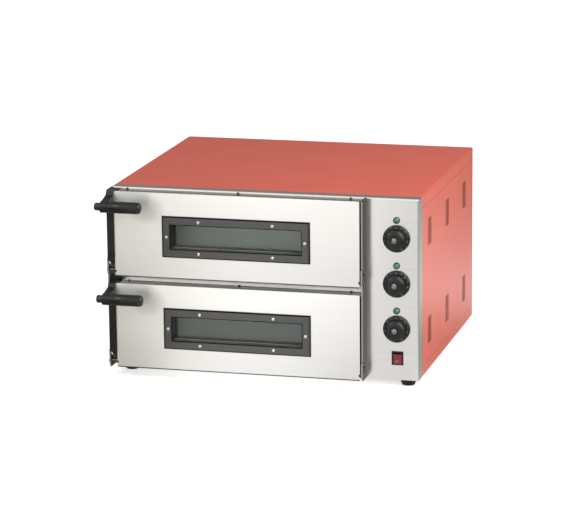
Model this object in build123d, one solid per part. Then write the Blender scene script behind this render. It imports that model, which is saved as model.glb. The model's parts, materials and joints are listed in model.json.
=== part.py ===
from build123d import *
import math
import os

# Two-deck countertop pizza oven, millimetres.
# Working frame: X from the left side to the right side, Y from the control panel's front to the
# back, Z up from the underside of the casing. Every piece is moved by ROW_SHIFT when it is
# written, so that the origin lies at the bottom centre of the whole oven.

# Casing
WIDTH = 560
DEPTH = 487
HEIGHT = 327
SHEET = 1
EDGE_ROUND = 2.5
SEAM = 0.4
FASCIA_WRAP = 32
TOP_RETURN = 20
BASE_BAND = 18
COVER_BAND = 22
BACK_WRAP = 8
LAP = 8
FASCIA_SCREWS_X = (30, 234.5, 439)

# Side vents
VENT_COLUMNS = (93, 248, 404)
VENT_ROWS = (72, 252)
VENT_SLOTS = 10
VENT_PITCH = 4.9
VENT_LENGTH = 30
VENT_WIDTH = 2.5

# Decks and doors
DOOR_HEIGHT = 154.5
DOOR_BOTTOMS = {"lower": 5, "upper": 172.5}
DOOR_LEFT = 17
DOOR_RIGHT = 463
DOOR_FRONT = -40
DOOR_BACK = -2
DOOR_LIP = 4
DOOR_SHEET = 1.2
OPEN_ANGLE = 76
MID_X = (DOOR_LEFT + DOOR_RIGHT) / 2

# Hinge, measured from each door's bottom edge
PIVOT_Y = -29.5
PIVOT_RISE = 9.2
PIN_RADIUS = 2.5
RUNNING_GAP = 0.05
BUSH_RADIUS = 3.75
BUSH_LENGTH = 10
HINGE_NOTCH = 2.4
STOP_RADIUS = 13
STOP_PIN_RADIUS = 2.25
STOP_GAP = 0.35
STOP_REST_ANGLE = 90
PIN_COLLAR = 3
CHEEK = 2.6
CHEEK_DEPTH = 32
CHEEK_Z = (2.5, 326.5)
CHEEK_ROUND = 5
EAR_DEPTH = 35
EAR_REACH = (-6.5, 22)
CHEEK_TABS = (40, 163, 290)
CHEEK_TAB_HEIGHT = 20
CHEEK_TAB = (1.2, 2.4)
LEFT_CHEEK_X = 0
RIGHT_CHEEK_X = 464.2

# Window
FRAME_SIZE = (270, 75)
FRAME_BORDER = 16
FRAME_PROUD = 3.5
FRAME_BEVEL = 2.5
SIGHT_BEVEL = 1.5
WINDOW_DROP = 1
CHANNEL_SIZE = (248, 53)
PANE = 4
OUTER_PANE_FRONT = -25
WINDOW_SCREW_INSET = 9
WINDOW_SCREW_SPREAD = 67.5

# Handle
ARM_X = (3.4, 17)
ARM_FOOT_RISE = 28
ARM_BACK = -22
ARM_FRONT = -42
GRIP_Y = -72
GRIP_RISE = 132
GRIP_RADIUS = 10.5
GRIP_END_X = 76.5
GRIP_BOLT_RADIUS = 3
CAP_NUT_RADIUS = 7
CAP_NUT_X = (-8.4, 3.4)

# Baking chambers, measured from each door's bottom edge
CHAMBER_X = (38, 442)
CHAMBER_BACK = 410
CHAMBER_FLOOR = 14
CHAMBER_CEILING = 132
MOUTH_SILL = 26
MOUTH_HEAD = 130
STONE_SIZE = (400, 400, 12)
STONE_RISE = 27
ELEMENT_RADIUS = 3.5
ELEMENT_RISES = (20, 124)
ELEMENT_RUNS_Y = (70, 160, 250, 340)
ELEMENT_END_X = 486
BULB_Y = 400

# Control column
CONTROL_X = 520.5
KNOB_RISES = {"lower": 92.7, "middle": 174, "upper": 255.3}
SKIRT_RADIUS = 24
KNOB_FRONT = -20
KNOB_BACK = -1.5
SPINDLE_RADIUS = 3
LAMP_OFFSET = 32.6
LAMP_RADIUS = 6
SWITCH_CENTRE = (522, 39.6)
SWITCH_BEZEL = (21, 25)
SWITCH_OPENING = (16, 20.6)
ROCKER_SIZE = (15.2, 18.4)
ROCKER_PIVOT_Y = 4
ROCKER_TILT = 8
DIVIDER_X = (472, 473.2)

# Feet and mains lead
FOOT_HEIGHT = 14
FOOT_TOP_RADIUS = 15
FOOT_BOTTOM_RADIUS = 11.5
FOOT_INSET = (24, 26)
GLAND_X = 515
GLAND_Z = 60
CABLE_RADIUS = 4
TERMINAL_BLOCK_Y = (416, 434)
CABLE_REACH = 40
PLUG_X = 150

BACK_MOST = DEPTH + CABLE_REACH + 12
ROW_SHIFT = (
    -(CAP_NUT_X[0] + WIDTH) / 2,
    -(GRIP_Y - GRIP_RADIUS + BACK_MOST) / 2,
    FOOT_HEIGHT,
)


def block(x, y, z):
    """Box between three pairs of limits."""
    size = [high - low for low, high in (x, y, z)]
    centre = [(high + low) / 2 for low, high in (x, y, z)]
    return Pos(*centre) * Box(*size)


def rod_x(radius, x, y, z):
    """Cylinder along X between the two limits of x."""
    return Pos((x[0] + x[1]) / 2, y, z) * Rot(0, 90, 0) * Cylinder(radius, x[1] - x[0])


def rod_y(radius, x, y, z):
    """Cylinder along Y between the two limits of y."""
    return Pos(x, (y[0] + y[1]) / 2, z) * Rot(90, 0, 0) * Cylinder(radius, y[1] - y[0])


def rod_z(radius, x, y, z):
    """Cylinder along Z between the two limits of z."""
    return Pos(x, y, (z[0] + z[1]) / 2) * Cylinder(radius, z[1] - z[0])


def prism_x(points, x):
    """Outline of (y, z) points, drawn out along X between two limits."""
    face = make_face(Polyline(*[(0, y, z) for y, z in points], close=True))
    return Pos(x[0], 0, 0) * extrude(face, amount=x[1] - x[0], dir=(1, 0, 0))


def tube_path(points, bend):
    """Straight runs joined by arcs of one bend radius."""
    corners = [Vector(*p) for p in points]
    edges = []
    start = corners[0]
    for before, corner, after in zip(corners, corners[1:], corners[2:]):
        way_in = (corner - before).normalized()
        way_out = (after - corner).normalized()
        turn = math.radians(way_in.get_angle(way_out))
        setback = bend * math.tan(turn / 2)
        arc_start = corner - way_in * setback
        arc_end = corner + way_out * setback
        inward = (way_out - way_in).normalized()
        centre = corner + inward * (bend / math.cos(turn / 2))
        edges.append(Edge.make_line(start, arc_start))
        edges.append(Edge.make_three_point_arc(arc_start, centre - inward * bend, arc_end))
        start = arc_end
    edges.append(Edge.make_line(start, corners[-1]))
    return Wire(edges)


def tube(points, bend, radius):
    """Round bar along a bent path."""
    path = tube_path(points, bend)
    return sweep(path.location_at(0) * Circle(radius), path)


def group(solids):
    """Separate solids that share one node."""
    return Compound([piece for solid in solids for piece in solid.solids()])


def cut(solid, tools):
    """Solid with every tool taken out of it."""
    for tool in tools:
        solid -= tool
    return solid


def write(name, shape):
    """Move a piece to the row frame and write its file."""
    export_step(Pos(*ROW_SHIFT) * shape, f"parts/{name}.step")


# Casing -------------------------------------------------------------------------------------


def envelope(inset):
    """Outer shape of the casing, drawn in by an inset, with the bends of its top and right."""
    x = (inset, WIDTH - inset)
    y = (inset, DEPTH - inset)
    solid = block(x, y, (inset, HEIGHT - inset))
    top = solid.edges().group_by(Axis.Z)[-1]
    front_right = solid.edges().filter_by(Axis.Z).sort_by(Axis.X)[-2:].sort_by(Axis.Y)[0]
    return fillet([*top, front_right], EDGE_ROUND - inset)


def casing_skin(layer=0):
    """Sheet metal skin of the casing, or the layer that laps just inside it."""
    return envelope(layer * SHEET) - envelope((layer + 1) * SHEET)


def fascia_screw_rises():
    """Heights of the screws in the strips that show above the doors."""
    return (DOOR_BOTTOMS["lower"] + DOOR_HEIGHT - 4.5, HEIGHT - 3.7)


def fascia_screw_places():
    """X and Z of the six screws that hold the fascia to the chamber flanges."""
    return [(x, z) for z in fascia_screw_rises() for x in FASCIA_SCREWS_X]


def cheek_tab_slot(cheek_x, z):
    """Space for one cheek tab in the fascia."""
    x = (cheek_x + CHEEK_TAB[0] - 0.1, cheek_x + CHEEK_TAB[1] + 0.1)
    half = CHEEK_TAB_HEIGHT / 2 + 0.2
    return block(x, (-1, 3), (z - half, z + half))


def mouth(bottom, y):
    """Opening of one deck."""
    return block(CHAMBER_X, y, (bottom + MOUTH_SILL, bottom + MOUTH_HEAD))


def behind_fascia(seam):
    """Space behind the fascia: its sides and underside reach further back than its top."""
    shoulder = HEIGHT - EDGE_ROUND + seam
    lower = block((-1, WIDTH + 1), (FASCIA_WRAP + seam, DEPTH + 1), (-1, shoulder + 1))
    upper = block((-1, WIDTH + 1), (TOP_RETURN + seam, DEPTH + 1), (shoulder, HEIGHT + 1))
    return lower + upper


def front_fascia():
    """Stainless front with its wrap over the top, sides and underside."""
    skin = casing_skin() - behind_fascia(0)
    through = (-1, SHEET + 1)
    tools = [mouth(bottom, through) for bottom in DOOR_BOTTOMS.values()]
    for rise in KNOB_RISES.values():
        tools.append(rod_y(5, CONTROL_X, through, rise))
        tools.append(rod_y(4.6, CONTROL_X, through, rise + LAMP_OFFSET))
    half_x, half_z = (side / 2 + 1 for side in SWITCH_OPENING)
    tools.append(
        block(
            (SWITCH_CENTRE[0] - half_x, SWITCH_CENTRE[0] + half_x),
            through,
            (SWITCH_CENTRE[1] - half_z, SWITCH_CENTRE[1] + half_z),
        )
    )
    for cheek_x in (LEFT_CHEEK_X, RIGHT_CHEEK_X):
        tools += [cheek_tab_slot(cheek_x, z) for z in CHEEK_TABS]
    tools += [rod_y(1.85, x, through, z) for x, z in fascia_screw_places()]
    tools += foot_screw_holes()
    return cut(skin, tools)


def top_cover():
    """Red cover: top sheet with bands down both sides and the back."""
    band = block((-1, WIDTH + 1), (-1, DEPTH + 1), (HEIGHT - COVER_BAND, HEIGHT + 1))
    skin = casing_skin() & behind_fascia(SEAM) & band
    lap = block((8, WIDTH - 8), (TOP_RETURN - LAP, TOP_RETURN + LAP), (HEIGHT - 9, HEIGHT))
    return skin + (casing_skin(1) & lap)


def base_pan():
    """Red floor pan with the band that shows along the sides and back."""
    y = (FASCIA_WRAP + SEAM, DEPTH + 1)
    skin = casing_skin() & block((-1, WIDTH + 1), y, (-1, BASE_BAND))
    lap = block((4, WIDTH - 4), (FASCIA_WRAP - 3 * LAP, FASCIA_WRAP + LAP), (0, 3))
    pan = skin + (casing_skin(1) & lap)
    return cut(pan, foot_screw_holes())


def vent_slots(x):
    """All the slots of one side panel."""
    tools = []
    for y in VENT_COLUMNS:
        for row in VENT_ROWS:
            for slot in range(VENT_SLOTS):
                z = row + (slot - (VENT_SLOTS - 1) / 2) * VENT_PITCH
                half = VENT_LENGTH / 2 - VENT_WIDTH / 2
                width = (z - VENT_WIDTH / 2, z + VENT_WIDTH / 2)
                tools.append(block(x, (y - half, y + half), width))
                tools += [rod_x(VENT_WIDTH / 2, x, y + end, z) for end in (-half, half)]
    return tools


def side_panel(x):
    """Red side panel, its laps behind the neighbouring bands and its vents."""
    low = BASE_BAND + SEAM
    high = HEIGHT - COVER_BAND - SEAM
    front = FASCIA_WRAP + SEAM
    back = DEPTH - BACK_WRAP - SEAM
    skin = casing_skin() & block(x, (front, back), (low, high))
    outer = block(x, (front - LAP, back + 4), (low - LAP, high + LAP))
    inner = block(x, (front + LAP, back - LAP), (low + LAP, high - LAP))
    lap = casing_skin(1) & (outer - inner)
    return (skin + lap).cut(*vent_slots(x))


def back_panel():
    """Red back panel with vents and the cable gland's hole."""
    low = BASE_BAND + SEAM
    high = HEIGHT - COVER_BAND - SEAM
    skin = casing_skin() & block((-1, WIDTH + 1), (DEPTH - BACK_WRAP, DEPTH + 1), (low, high))
    y = (DEPTH - 2 * SHEET - 1, DEPTH + 1)
    outer = block((12, WIDTH - 12), y, (low - LAP, high + LAP))
    inner = block((12 + LAP, WIDTH - 12 - LAP), y, (low + LAP, high - LAP))
    panel = skin + (casing_skin(1) & (outer - inner))
    tools = [rod_y(8.2, GLAND_X, y, GLAND_Z)]
    tools += [rod_y(1.85, x, y, z) for x, z in back_screw_places()]
    for column in range(4):
        x = MID_X - 90 + column * 60
        for slot in range(8):
            z = 240 + slot * 6
            tools.append(block((x - 20, x + 20), y, (z - 1.3, z + 1.3)))
    return panel.cut(*tools)


def back_screw_places():
    """X and Z of the screws around the back panel."""
    rows = (BASE_BAND + 5, HEIGHT - COVER_BAND - 5)
    return [(x, z) for z in rows for x in (30, 200, 360, 530)]


def pan_head_screw(radius, head, shank_radius, length):
    """Cross-recessed screw along +Y, head towards -Y, seat at the origin."""
    top = fillet(rod_y(radius, 0, (-head, 0), 0).edges().group_by(Axis.Y)[0], head * 0.6)
    body = top + rod_y(shank_radius, 0, (0, length), 0)
    half = radius * 0.55
    recess = (-head - 1, -head * 0.4)
    cross = block((-half, half), recess, (-0.45, 0.45)) + block((-0.45, 0.45), recess, (-half, half))
    return body - cross


def casing_screws():
    """Screws of the fascia strip and of the back panel."""
    front = pan_head_screw(2.8, 1.4, 1.6, 8)
    back = Rot(0, 0, 180) * pan_head_screw(3.4, 1.8, 1.6, 8)
    screws = [Pos(x, 0, z) * front for x, z in fascia_screw_places()]
    return group(screws + [Pos(x, DEPTH, z) * back for x, z in back_screw_places()])


def foot_places():
    """Centres of the four feet."""
    dx, dy = FOOT_INSET
    return [(x, y) for x in (dx, WIDTH - dx) for y in (dy, DEPTH - dy)]


def foot_screw_holes():
    """Holes through the floor for the foot screws."""
    return [rod_z(2.7, x, y, (-1, 4)) for x, y in foot_places()]


def foot():
    """Tapered rubber foot with a recess for its screw, top face at the origin."""
    cone = Pos(0, 0, -FOOT_HEIGHT / 2) * Cone(FOOT_BOTTOM_RADIUS, FOOT_TOP_RADIUS, FOOT_HEIGHT)
    return cone - rod_z(5.5, 0, 0, (-FOOT_HEIGHT - 1, -8)) - rod_z(2.7, 0, 0, (-9, 1))


def foot_screw(y):
    """Screw with its nut, holding a foot to the floor; the front feet hold two sheets."""
    sheets = 2 if y < FASCIA_WRAP else 1
    head = rod_z(4.8, 0, 0, (-11, -8))
    shank = rod_z(2.5, 0, 0, (-8, 8))
    nut = Pos(0, 0, sheets * SHEET) * extrude(RegularPolygon(4.6, 6), amount=4)
    return head + shank + nut - block((-3.4, 3.4), (-0.5, 0.5), (-12, -10))


# Hinge side ---------------------------------------------------------------------------------


def stop_point(angle):
    """Y and Z offset of the stop pin from the pivot; the angle runs from +Z towards +Y."""
    turn = math.radians(angle)
    return STOP_RADIUS * math.sin(turn), STOP_RADIUS * math.cos(turn)


def stop_slot(bottom):
    """Arc slot that the stop pin runs in, drawn through a cheek."""
    half = STOP_PIN_RADIUS + STOP_GAP
    x = (-1, CHEEK + 1)
    ring = rod_x(STOP_RADIUS + half, x, 0, 0) - rod_x(STOP_RADIUS - half, x, 0, 0)
    reach = 2 * STOP_RADIUS
    ends = [STOP_REST_ANGLE - turn for turn in (0, OPEN_ANGLE)]
    corners = [(0, 0)]
    for angle in (ends[0], sum(ends) / 2, ends[1]):
        y, z = stop_point(angle)
        corners.append((y * reach, z * reach))
    slot = ring & prism_x(corners, x)
    for angle in ends:
        y, z = stop_point(angle)
        slot += rod_x(half, x, y, z)
    return Pos(0, PIVOT_Y, bottom + PIVOT_RISE) * slot


def hinge_cheek():
    """Upright plate in front of the fascia, with an ear at each hinge, that carries the pins."""
    plate = block((0, CHEEK), (-CHEEK_DEPTH, 0), CHEEK_Z)
    top_corner = plate.edges().filter_by(Axis.X).group_by(Axis.Z)[-1].sort_by(Axis.Y)[0]
    plate = fillet(top_corner, CHEEK_ROUND)
    for bottom in DOOR_BOTTOMS.values():
        low, high = (bottom + PIVOT_RISE + reach for reach in EAR_REACH)
        ear = block((0, CHEEK), (-EAR_DEPTH, 0), (low, high))
        front = ear.edges().filter_by(Axis.X).group_by(Axis.Y)[0]
        plate += fillet(front, CHEEK_ROUND / 2)
    for z in CHEEK_TABS:
        half = CHEEK_TAB_HEIGHT / 2
        plate += block(CHEEK_TAB, (-2, 14), (z - half, z + half))
    tools = []
    for bottom in DOOR_BOTTOMS.values():
        tools.append(stop_slot(bottom))
        tools.append(rod_x(PIN_RADIUS, (-1, CHEEK + 1), PIVOT_Y, bottom + PIVOT_RISE))
    return cut(plate, tools)


def hinge_cheeks():
    """Left and right cheek."""
    return group([Pos(x, 0, 0) * hinge_cheek() for x in (LEFT_CHEEK_X, RIGHT_CHEEK_X)])


def hinge_pin(z, outer, inner, tip):
    """Riveted pin: head outside the cheek, collar beside the door, end inside the bush."""
    way = math.copysign(1, tip - outer)
    head = sorted((outer - way * 1.2, outer))
    room = abs(inner - outer) - CHEEK
    collar = sorted((inner - way * min(PIN_COLLAR, room), inner))
    pin = rod_x(PIN_RADIUS, sorted((outer, tip)), PIVOT_Y, z)
    return pin + rod_x(4, head, PIVOT_Y, z) + rod_x(3.6, collar, PIVOT_Y, z)


def hinge_pins():
    """Four pins, one at each lower corner of each door."""
    pins = []
    for bottom in DOOR_BOTTOMS.values():
        z = bottom + PIVOT_RISE
        pins.append(hinge_pin(z, LEFT_CHEEK_X, DOOR_LEFT - 0.2, DOOR_LEFT + BUSH_LENGTH))
        right = RIGHT_CHEEK_X + CHEEK
        pins.append(hinge_pin(z, right, DOOR_RIGHT + 0.2, DOOR_RIGHT - BUSH_LENGTH))
    return group(pins)


def hinge_fittings(bottom):
    """A door's two bushes and two stop pins."""
    z = bottom + PIVOT_RISE
    y_stop, z_stop = stop_point(STOP_REST_ANGLE)
    bushes = [
        (DOOR_LEFT, DOOR_LEFT + BUSH_LENGTH),
        (DOOR_RIGHT - BUSH_LENGTH, DOOR_RIGHT),
    ]
    pins = [
        (LEFT_CHEEK_X - 0.8, DOOR_LEFT + BUSH_LENGTH),
        (DOOR_RIGHT - BUSH_LENGTH, RIGHT_CHEEK_X + CHEEK + 0.8),
    ]
    solids = []
    for x in bushes:
        wall = rod_x(BUSH_RADIUS, x, PIVOT_Y, z)
        bore = (x[0] - 1, x[1] + 1)
        solids.append(wall - rod_x(PIN_RADIUS + RUNNING_GAP, bore, PIVOT_Y, z))
    solids += [rod_x(STOP_PIN_RADIUS, x, PIVOT_Y + y_stop, z + z_stop) for x in pins]
    return group(solids)


def hinge_holes(bottom, x):
    """Holes for a door's bushes and stop pins."""
    z = bottom + PIVOT_RISE
    y_stop, z_stop = stop_point(STOP_REST_ANGLE)
    return [
        rod_x(BUSH_RADIUS, x, PIVOT_Y, z),
        rod_x(STOP_PIN_RADIUS, x, PIVOT_Y + y_stop, z + z_stop),
    ]


# Doors --------------------------------------------------------------------------------------


def window_centre(bottom):
    """Height of a window's centre."""
    return bottom + DOOR_HEIGHT / 2 - WINDOW_DROP


def window_block(bottom, size, y):
    """Block of the given width and height centred on a door's window."""
    z = window_centre(bottom)
    return block(
        (MID_X - size[0] / 2, MID_X + size[0] / 2),
        y,
        (z - size[1] / 2, z + size[1] / 2),
    )


def grown(size, by):
    """Width and height with a margin added on every side."""
    return (size[0] + 2 * by, size[1] + 2 * by)


def window_screw_places(bottom):
    """X and Z of a window frame's six screws."""
    z = window_centre(bottom)
    side = FRAME_SIZE[0] / 2 - WINDOW_SCREW_INSET
    rise = FRAME_SIZE[1] / 2 - WINDOW_SCREW_INSET
    places = [(MID_X - side, z), (MID_X + side, z)]
    for dx in (-WINDOW_SCREW_SPREAD, WINDOW_SCREW_SPREAD):
        places += [(MID_X + dx, z - rise), (MID_X + dx, z + rise)]
    return places


def screw_holes(bottom, y):
    """Clearance holes for the window screws."""
    return [rod_y(1.6, x, y, z) for x, z in window_screw_places(bottom)]


def arm_screw_rises(bottom):
    """Heights of the two screws that hold a handle arm to the door's side."""
    return (bottom + ARM_FOOT_RISE + 14, bottom + DOOR_HEIGHT - 22)


def door_outer_panel(bottom):
    """Stainless front of a door with flanges folded back on all four sides."""
    x = (DOOR_LEFT, DOOR_RIGHT)
    front = (DOOR_FRONT, DOOR_FRONT + DOOR_SHEET)
    plate = block(x, front, (bottom, bottom + DOOR_HEIGHT))
    corners = plate.edges().filter_by(Axis.Y)
    plate = fillet(corners, 1.5)
    z = (bottom + DOOR_LIP, bottom + DOOR_HEIGHT - DOOR_LIP)
    y = (DOOR_FRONT + DOOR_SHEET / 2, DOOR_BACK - DOOR_SHEET)
    wall = DOOR_SHEET
    ring = block(x, y, z) - block(
        (x[0] + wall, x[1] - wall),
        (DOOR_FRONT, DOOR_BACK),
        (z[0] + wall, z[1] - wall),
    )
    tools = [window_block(bottom, CHANNEL_SIZE, (DOOR_FRONT - 1, DOOR_FRONT + 3))]
    tools += screw_holes(bottom, (DOOR_FRONT - 1, DOOR_FRONT + 3))
    tools += hinge_holes(bottom, (DOOR_LEFT - 1, DOOR_RIGHT + 1))
    notch_y = (DOOR_FRONT - 1, PIVOT_Y - BUSH_RADIUS + 0.5)
    tools += [
        rod_y(HINGE_NOTCH, x, notch_y, bottom + PIVOT_RISE) for x in (DOOR_LEFT, DOOR_RIGHT)
    ]
    arm_y = (ARM_BACK + ARM_FRONT) / 2
    hole_x = (DOOR_LEFT - 1, DOOR_LEFT + 4)
    tools += [rod_x(2.1, hole_x, arm_y, rise) for rise in arm_screw_rises(bottom)]
    return cut(plate + ring, tools)


def door_inner_pan(bottom):
    """Inner sheet of a door, folded forward inside the outer panel's flanges."""
    gap = DOOR_SHEET + 0.2
    x = (DOOR_LEFT + gap, DOOR_RIGHT - gap)
    z = (bottom + DOOR_LIP + gap, bottom + DOOR_HEIGHT - DOOR_LIP - gap)
    y = (DOOR_BACK - 14, DOOR_BACK - DOOR_SHEET)
    wall = DOOR_SHEET
    back = block(
        (DOOR_LEFT, DOOR_RIGHT),
        (DOOR_BACK - DOOR_SHEET, DOOR_BACK),
        (bottom + DOOR_LIP, bottom + DOOR_HEIGHT - DOOR_LIP),
    )
    walls = block(x, y, z) - block(
        (x[0] + wall, x[1] - wall),
        (y[0] - 1, y[1] + 1),
        (z[0] + wall, z[1] - wall),
    )
    sight = grown(FRAME_SIZE, -FRAME_BORDER)
    pan = back + walls - window_block(bottom, sight, (DOOR_BACK - 5, 1))
    y_stop, z_stop = stop_point(STOP_REST_ANGLE)
    z_pin = bottom + PIVOT_RISE + z_stop
    ends = (DOOR_LEFT - 1, DOOR_RIGHT + 1)
    return pan - rod_x(STOP_PIN_RADIUS + 0.1, ends, PIVOT_Y + y_stop, z_pin)


def window_channel(bottom):
    """Dark sleeve that lines the window through the door and carries both panes."""
    inner = grown(CHANNEL_SIZE, -DOOR_SHEET)
    ledge = grown(inner, -4)
    pan_front = DOOR_BACK - DOOR_SHEET
    sleeve = window_block(bottom, CHANNEL_SIZE, (DOOR_FRONT, pan_front))
    sleeve -= window_block(bottom, inner, (DOOR_FRONT - 1, 1))
    between = (OUTER_PANE_FRONT + PANE, pan_front - PANE)
    spacer = window_block(bottom, inner, between)
    spacer -= window_block(bottom, ledge, (DOOR_FRONT, 1))
    behind = (DOOR_FRONT + DOOR_SHEET, DOOR_FRONT + 2 * DOOR_SHEET)
    flange = window_block(bottom, grown(FRAME_SIZE, -2), behind)
    flange -= window_block(bottom, inner, (DOOR_FRONT, 1))
    return cut(sleeve + spacer + flange, screw_holes(bottom, (DOOR_FRONT, behind[1] + 1)))


def window_panes(bottom):
    """Outer and inner pane of heat-proof glass."""
    size = grown(CHANNEL_SIZE, -DOOR_SHEET)
    fronts = (OUTER_PANE_FRONT, DOOR_BACK - DOOR_SHEET - PANE)
    return group([window_block(bottom, size, (y, y + PANE)) for y in fronts])


def window_frame(bottom):
    """Bevelled black frame, with a collar that reaches back to the outer pane."""
    front = DOOR_FRONT - FRAME_PROUD
    border = window_block(bottom, FRAME_SIZE, (front, DOOR_FRONT))
    border = chamfer(border.edges().group_by(Axis.Y)[0], FRAME_BEVEL)
    collar_size = grown(CHANNEL_SIZE, -DOOR_SHEET)
    collar = window_block(bottom, collar_size, (front + 1.5, OUTER_PANE_FRONT))
    sight = grown(FRAME_SIZE, -FRAME_BORDER)
    hole = window_block(bottom, sight, (front - 1, OUTER_PANE_FRONT + 1))
    frame = border + collar - hole
    rim = frame.edges().group_by(Axis.Y)[0]
    frame = chamfer([edge for edge in rim if edge.length < sight[0] + 1], SIGHT_BEVEL)
    return cut(frame, screw_holes(bottom, (front - 1, DOOR_FRONT + 1)))


def window_screws(bottom):
    """Six screws of a window frame."""
    screw = pan_head_screw(2.8, 1.7, 1.5, 7)
    y = DOOR_FRONT - FRAME_PROUD
    return group([Pos(x, y, z) * screw for x, z in window_screw_places(bottom)])


def door_insulation(bottom):
    """Mineral wool between the two sheets of a door."""
    clear = 3
    slab = block(
        (DOOR_LEFT + clear, DOOR_RIGHT - clear),
        (DOOR_FRONT + 3, DOOR_BACK - 2),
        (bottom + DOOR_LIP + clear, bottom + DOOR_HEIGHT - DOOR_LIP - clear),
    )
    tools = [
        window_block(bottom, grown(CHANNEL_SIZE, 0.4), (DOOR_FRONT, 1)),
        window_block(bottom, grown(FRAME_SIZE, 1), (DOOR_FRONT, DOOR_FRONT + 8)),
    ]
    corner_z = (bottom, bottom + 20)
    tools.append(block((0, DOOR_LEFT + 14), (DOOR_FRONT, 0), corner_z))
    tools.append(block((DOOR_RIGHT - 14, WIDTH), (DOOR_FRONT, 0), corner_z))
    arm_y = (ARM_BACK + ARM_FRONT) / 2
    for rise in arm_screw_rises(bottom):
        tools.append(rod_x(6, (DOOR_LEFT, DOOR_LEFT + 14), arm_y, rise))
    return cut(slab, tools)


def door_seal(bottom):
    """Heat-proof braid around the mouth, carried on the door."""
    y = (DOOR_BACK, -0.3)
    outer = block((26, 454), y, (bottom + 12.4, bottom + 141))
    inner = block((33, 447), (y[0] - 1, 1), (bottom + 19.4, bottom + 134))
    return outer - inner


# Handles ------------------------------------------------------------------------------------


def handle_arm(bottom):
    """Black arm: a bar up the door's side, a web and a boss that carries the grip."""
    top = bottom + DOOR_HEIGHT
    grip_z = bottom + GRIP_RISE
    bar = [
        (ARM_BACK, bottom + ARM_FOOT_RISE),
        (ARM_BACK, top),
        (ARM_FRONT, top),
        (ARM_FRONT, bottom + ARM_FOOT_RISE),
    ]
    web = [
        (ARM_FRONT + 2, top),
        (ARM_FRONT, top),
        (ARM_FRONT - 3, top - 7),
        (GRIP_Y + 3, grip_z + GRIP_RADIUS - 0.4),
        (GRIP_Y + 3, grip_z - GRIP_RADIUS + 0.4),
        (ARM_FRONT, top - 38),
        (ARM_FRONT + 2, top - 38),
    ]
    arm = prism_x(bar, ARM_X) + prism_x(web, ARM_X)
    arm += rod_x(GRIP_RADIUS, ARM_X, GRIP_Y, grip_z)
    through = (ARM_X[0] - 1, ARM_X[1] + 1)
    arm -= rod_x(GRIP_BOLT_RADIUS + 0.1, through, GRIP_Y, grip_z)
    arm_y = (ARM_BACK + ARM_FRONT) / 2
    for rise in arm_screw_rises(bottom):
        arm -= rod_x(2.1, through, arm_y, rise)
        arm -= rod_x(4.2, (ARM_X[0] - 1, ARM_X[0] + 3.2), arm_y, rise)
    return arm


def handle_grip(bottom):
    """Round black grip."""
    x = (ARM_X[1], GRIP_END_X)
    z = bottom + GRIP_RISE
    grip = rod_x(GRIP_RADIUS, x, GRIP_Y, z)
    grip = fillet(grip.edges().group_by(Axis.X)[-1], 2.5)
    grip = fillet(grip.edges().group_by(Axis.X)[0], 0.8)
    return grip - rod_x(GRIP_BOLT_RADIUS + 0.1, (x[0] - 1, x[1] - 14), GRIP_Y, z)


def handle_fixings(bottom):
    """Bolt with its cap nut through the arm and grip, and the arm's two screws."""
    z = bottom + GRIP_RISE
    bolt = rod_x(GRIP_BOLT_RADIUS, (CAP_NUT_X[0] + 2, GRIP_END_X - 15), GRIP_Y, z)
    cap = rod_x(CAP_NUT_RADIUS, CAP_NUT_X, GRIP_Y, z)
    cap = fillet(cap.edges().group_by(Axis.X)[0], 2.5)
    arm_y = (ARM_BACK + ARM_FRONT) / 2
    solids = [bolt + cap]
    seat = ARM_X[0] + 3.2
    for rise in arm_screw_rises(bottom):
        head = rod_x(4, (seat - 2.4, seat), arm_y, rise)
        shank = rod_x(2, (seat, DOOR_LEFT + 10), arm_y, rise)
        nut = rod_x(4, (DOOR_LEFT + DOOR_SHEET, DOOR_LEFT + DOOR_SHEET + 4), arm_y, rise)
        recess = rod_x(1.6, (seat - 3, seat - 1.2), arm_y, rise)
        solids.append(head + shank + nut - recess)
    return group(solids)


# Baking chambers ----------------------------------------------------------------------------


def deck_limits(deck):
    """Lowest and highest edge of a chamber's front flange."""
    middle = DOOR_BOTTOMS["upper"] - 1.5
    return (3, middle - 0.5) if deck == "lower" else (middle, HEIGHT - 3 * SHEET)


def element_outlets(bottom, radius, x):
    """Holes for the ends of one deck's heating elements."""
    ends = (ELEMENT_RUNS_Y[0], ELEMENT_RUNS_Y[-1])
    return [
        rod_x(radius, x, y, bottom + rise) for rise in ELEMENT_RISES for y in ends
    ]


def chamber(deck):
    """Liner of one deck, open at the front, with the flange behind the fascia."""
    bottom = DOOR_BOTTOMS[deck]
    left, right = CHAMBER_X
    floor = bottom + CHAMBER_FLOOR
    ceiling = bottom + CHAMBER_CEILING
    liner = block(
        (left - SHEET, right + SHEET),
        (SHEET, CHAMBER_BACK + SHEET),
        (floor - SHEET, ceiling + SHEET),
    )
    flange = block((20, 460), (SHEET, 2 * SHEET), deck_limits(deck))
    hollow = block(CHAMBER_X, (2 * SHEET, CHAMBER_BACK), (floor, ceiling))
    tools = [hollow, mouth(bottom, (0, 3 * SHEET))]
    tools += element_outlets(bottom, ELEMENT_RADIUS + 0.3, (right - 1, right + 3))
    tools += [rod_x(1.5, (right - 1, right + 3), BULB_Y, z) for z in bulb_rises()]
    tools += [rod_y(1.85, x, (0, 4), z) for x, z in fascia_screw_places()]
    return cut(liner + flange, tools)


def baking_stones():
    """One loose stone slab per deck."""
    front = 5
    half = STONE_SIZE[0] / 2
    stones = []
    for bottom in DOOR_BOTTOMS.values():
        low = bottom + STONE_RISE
        slab = block(
            (MID_X - half, MID_X + half),
            (front, front + STONE_SIZE[1]),
            (low, low + STONE_SIZE[2]),
        )
        stones.append(chamfer(slab.edges(), 1))
    return group(stones)


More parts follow.
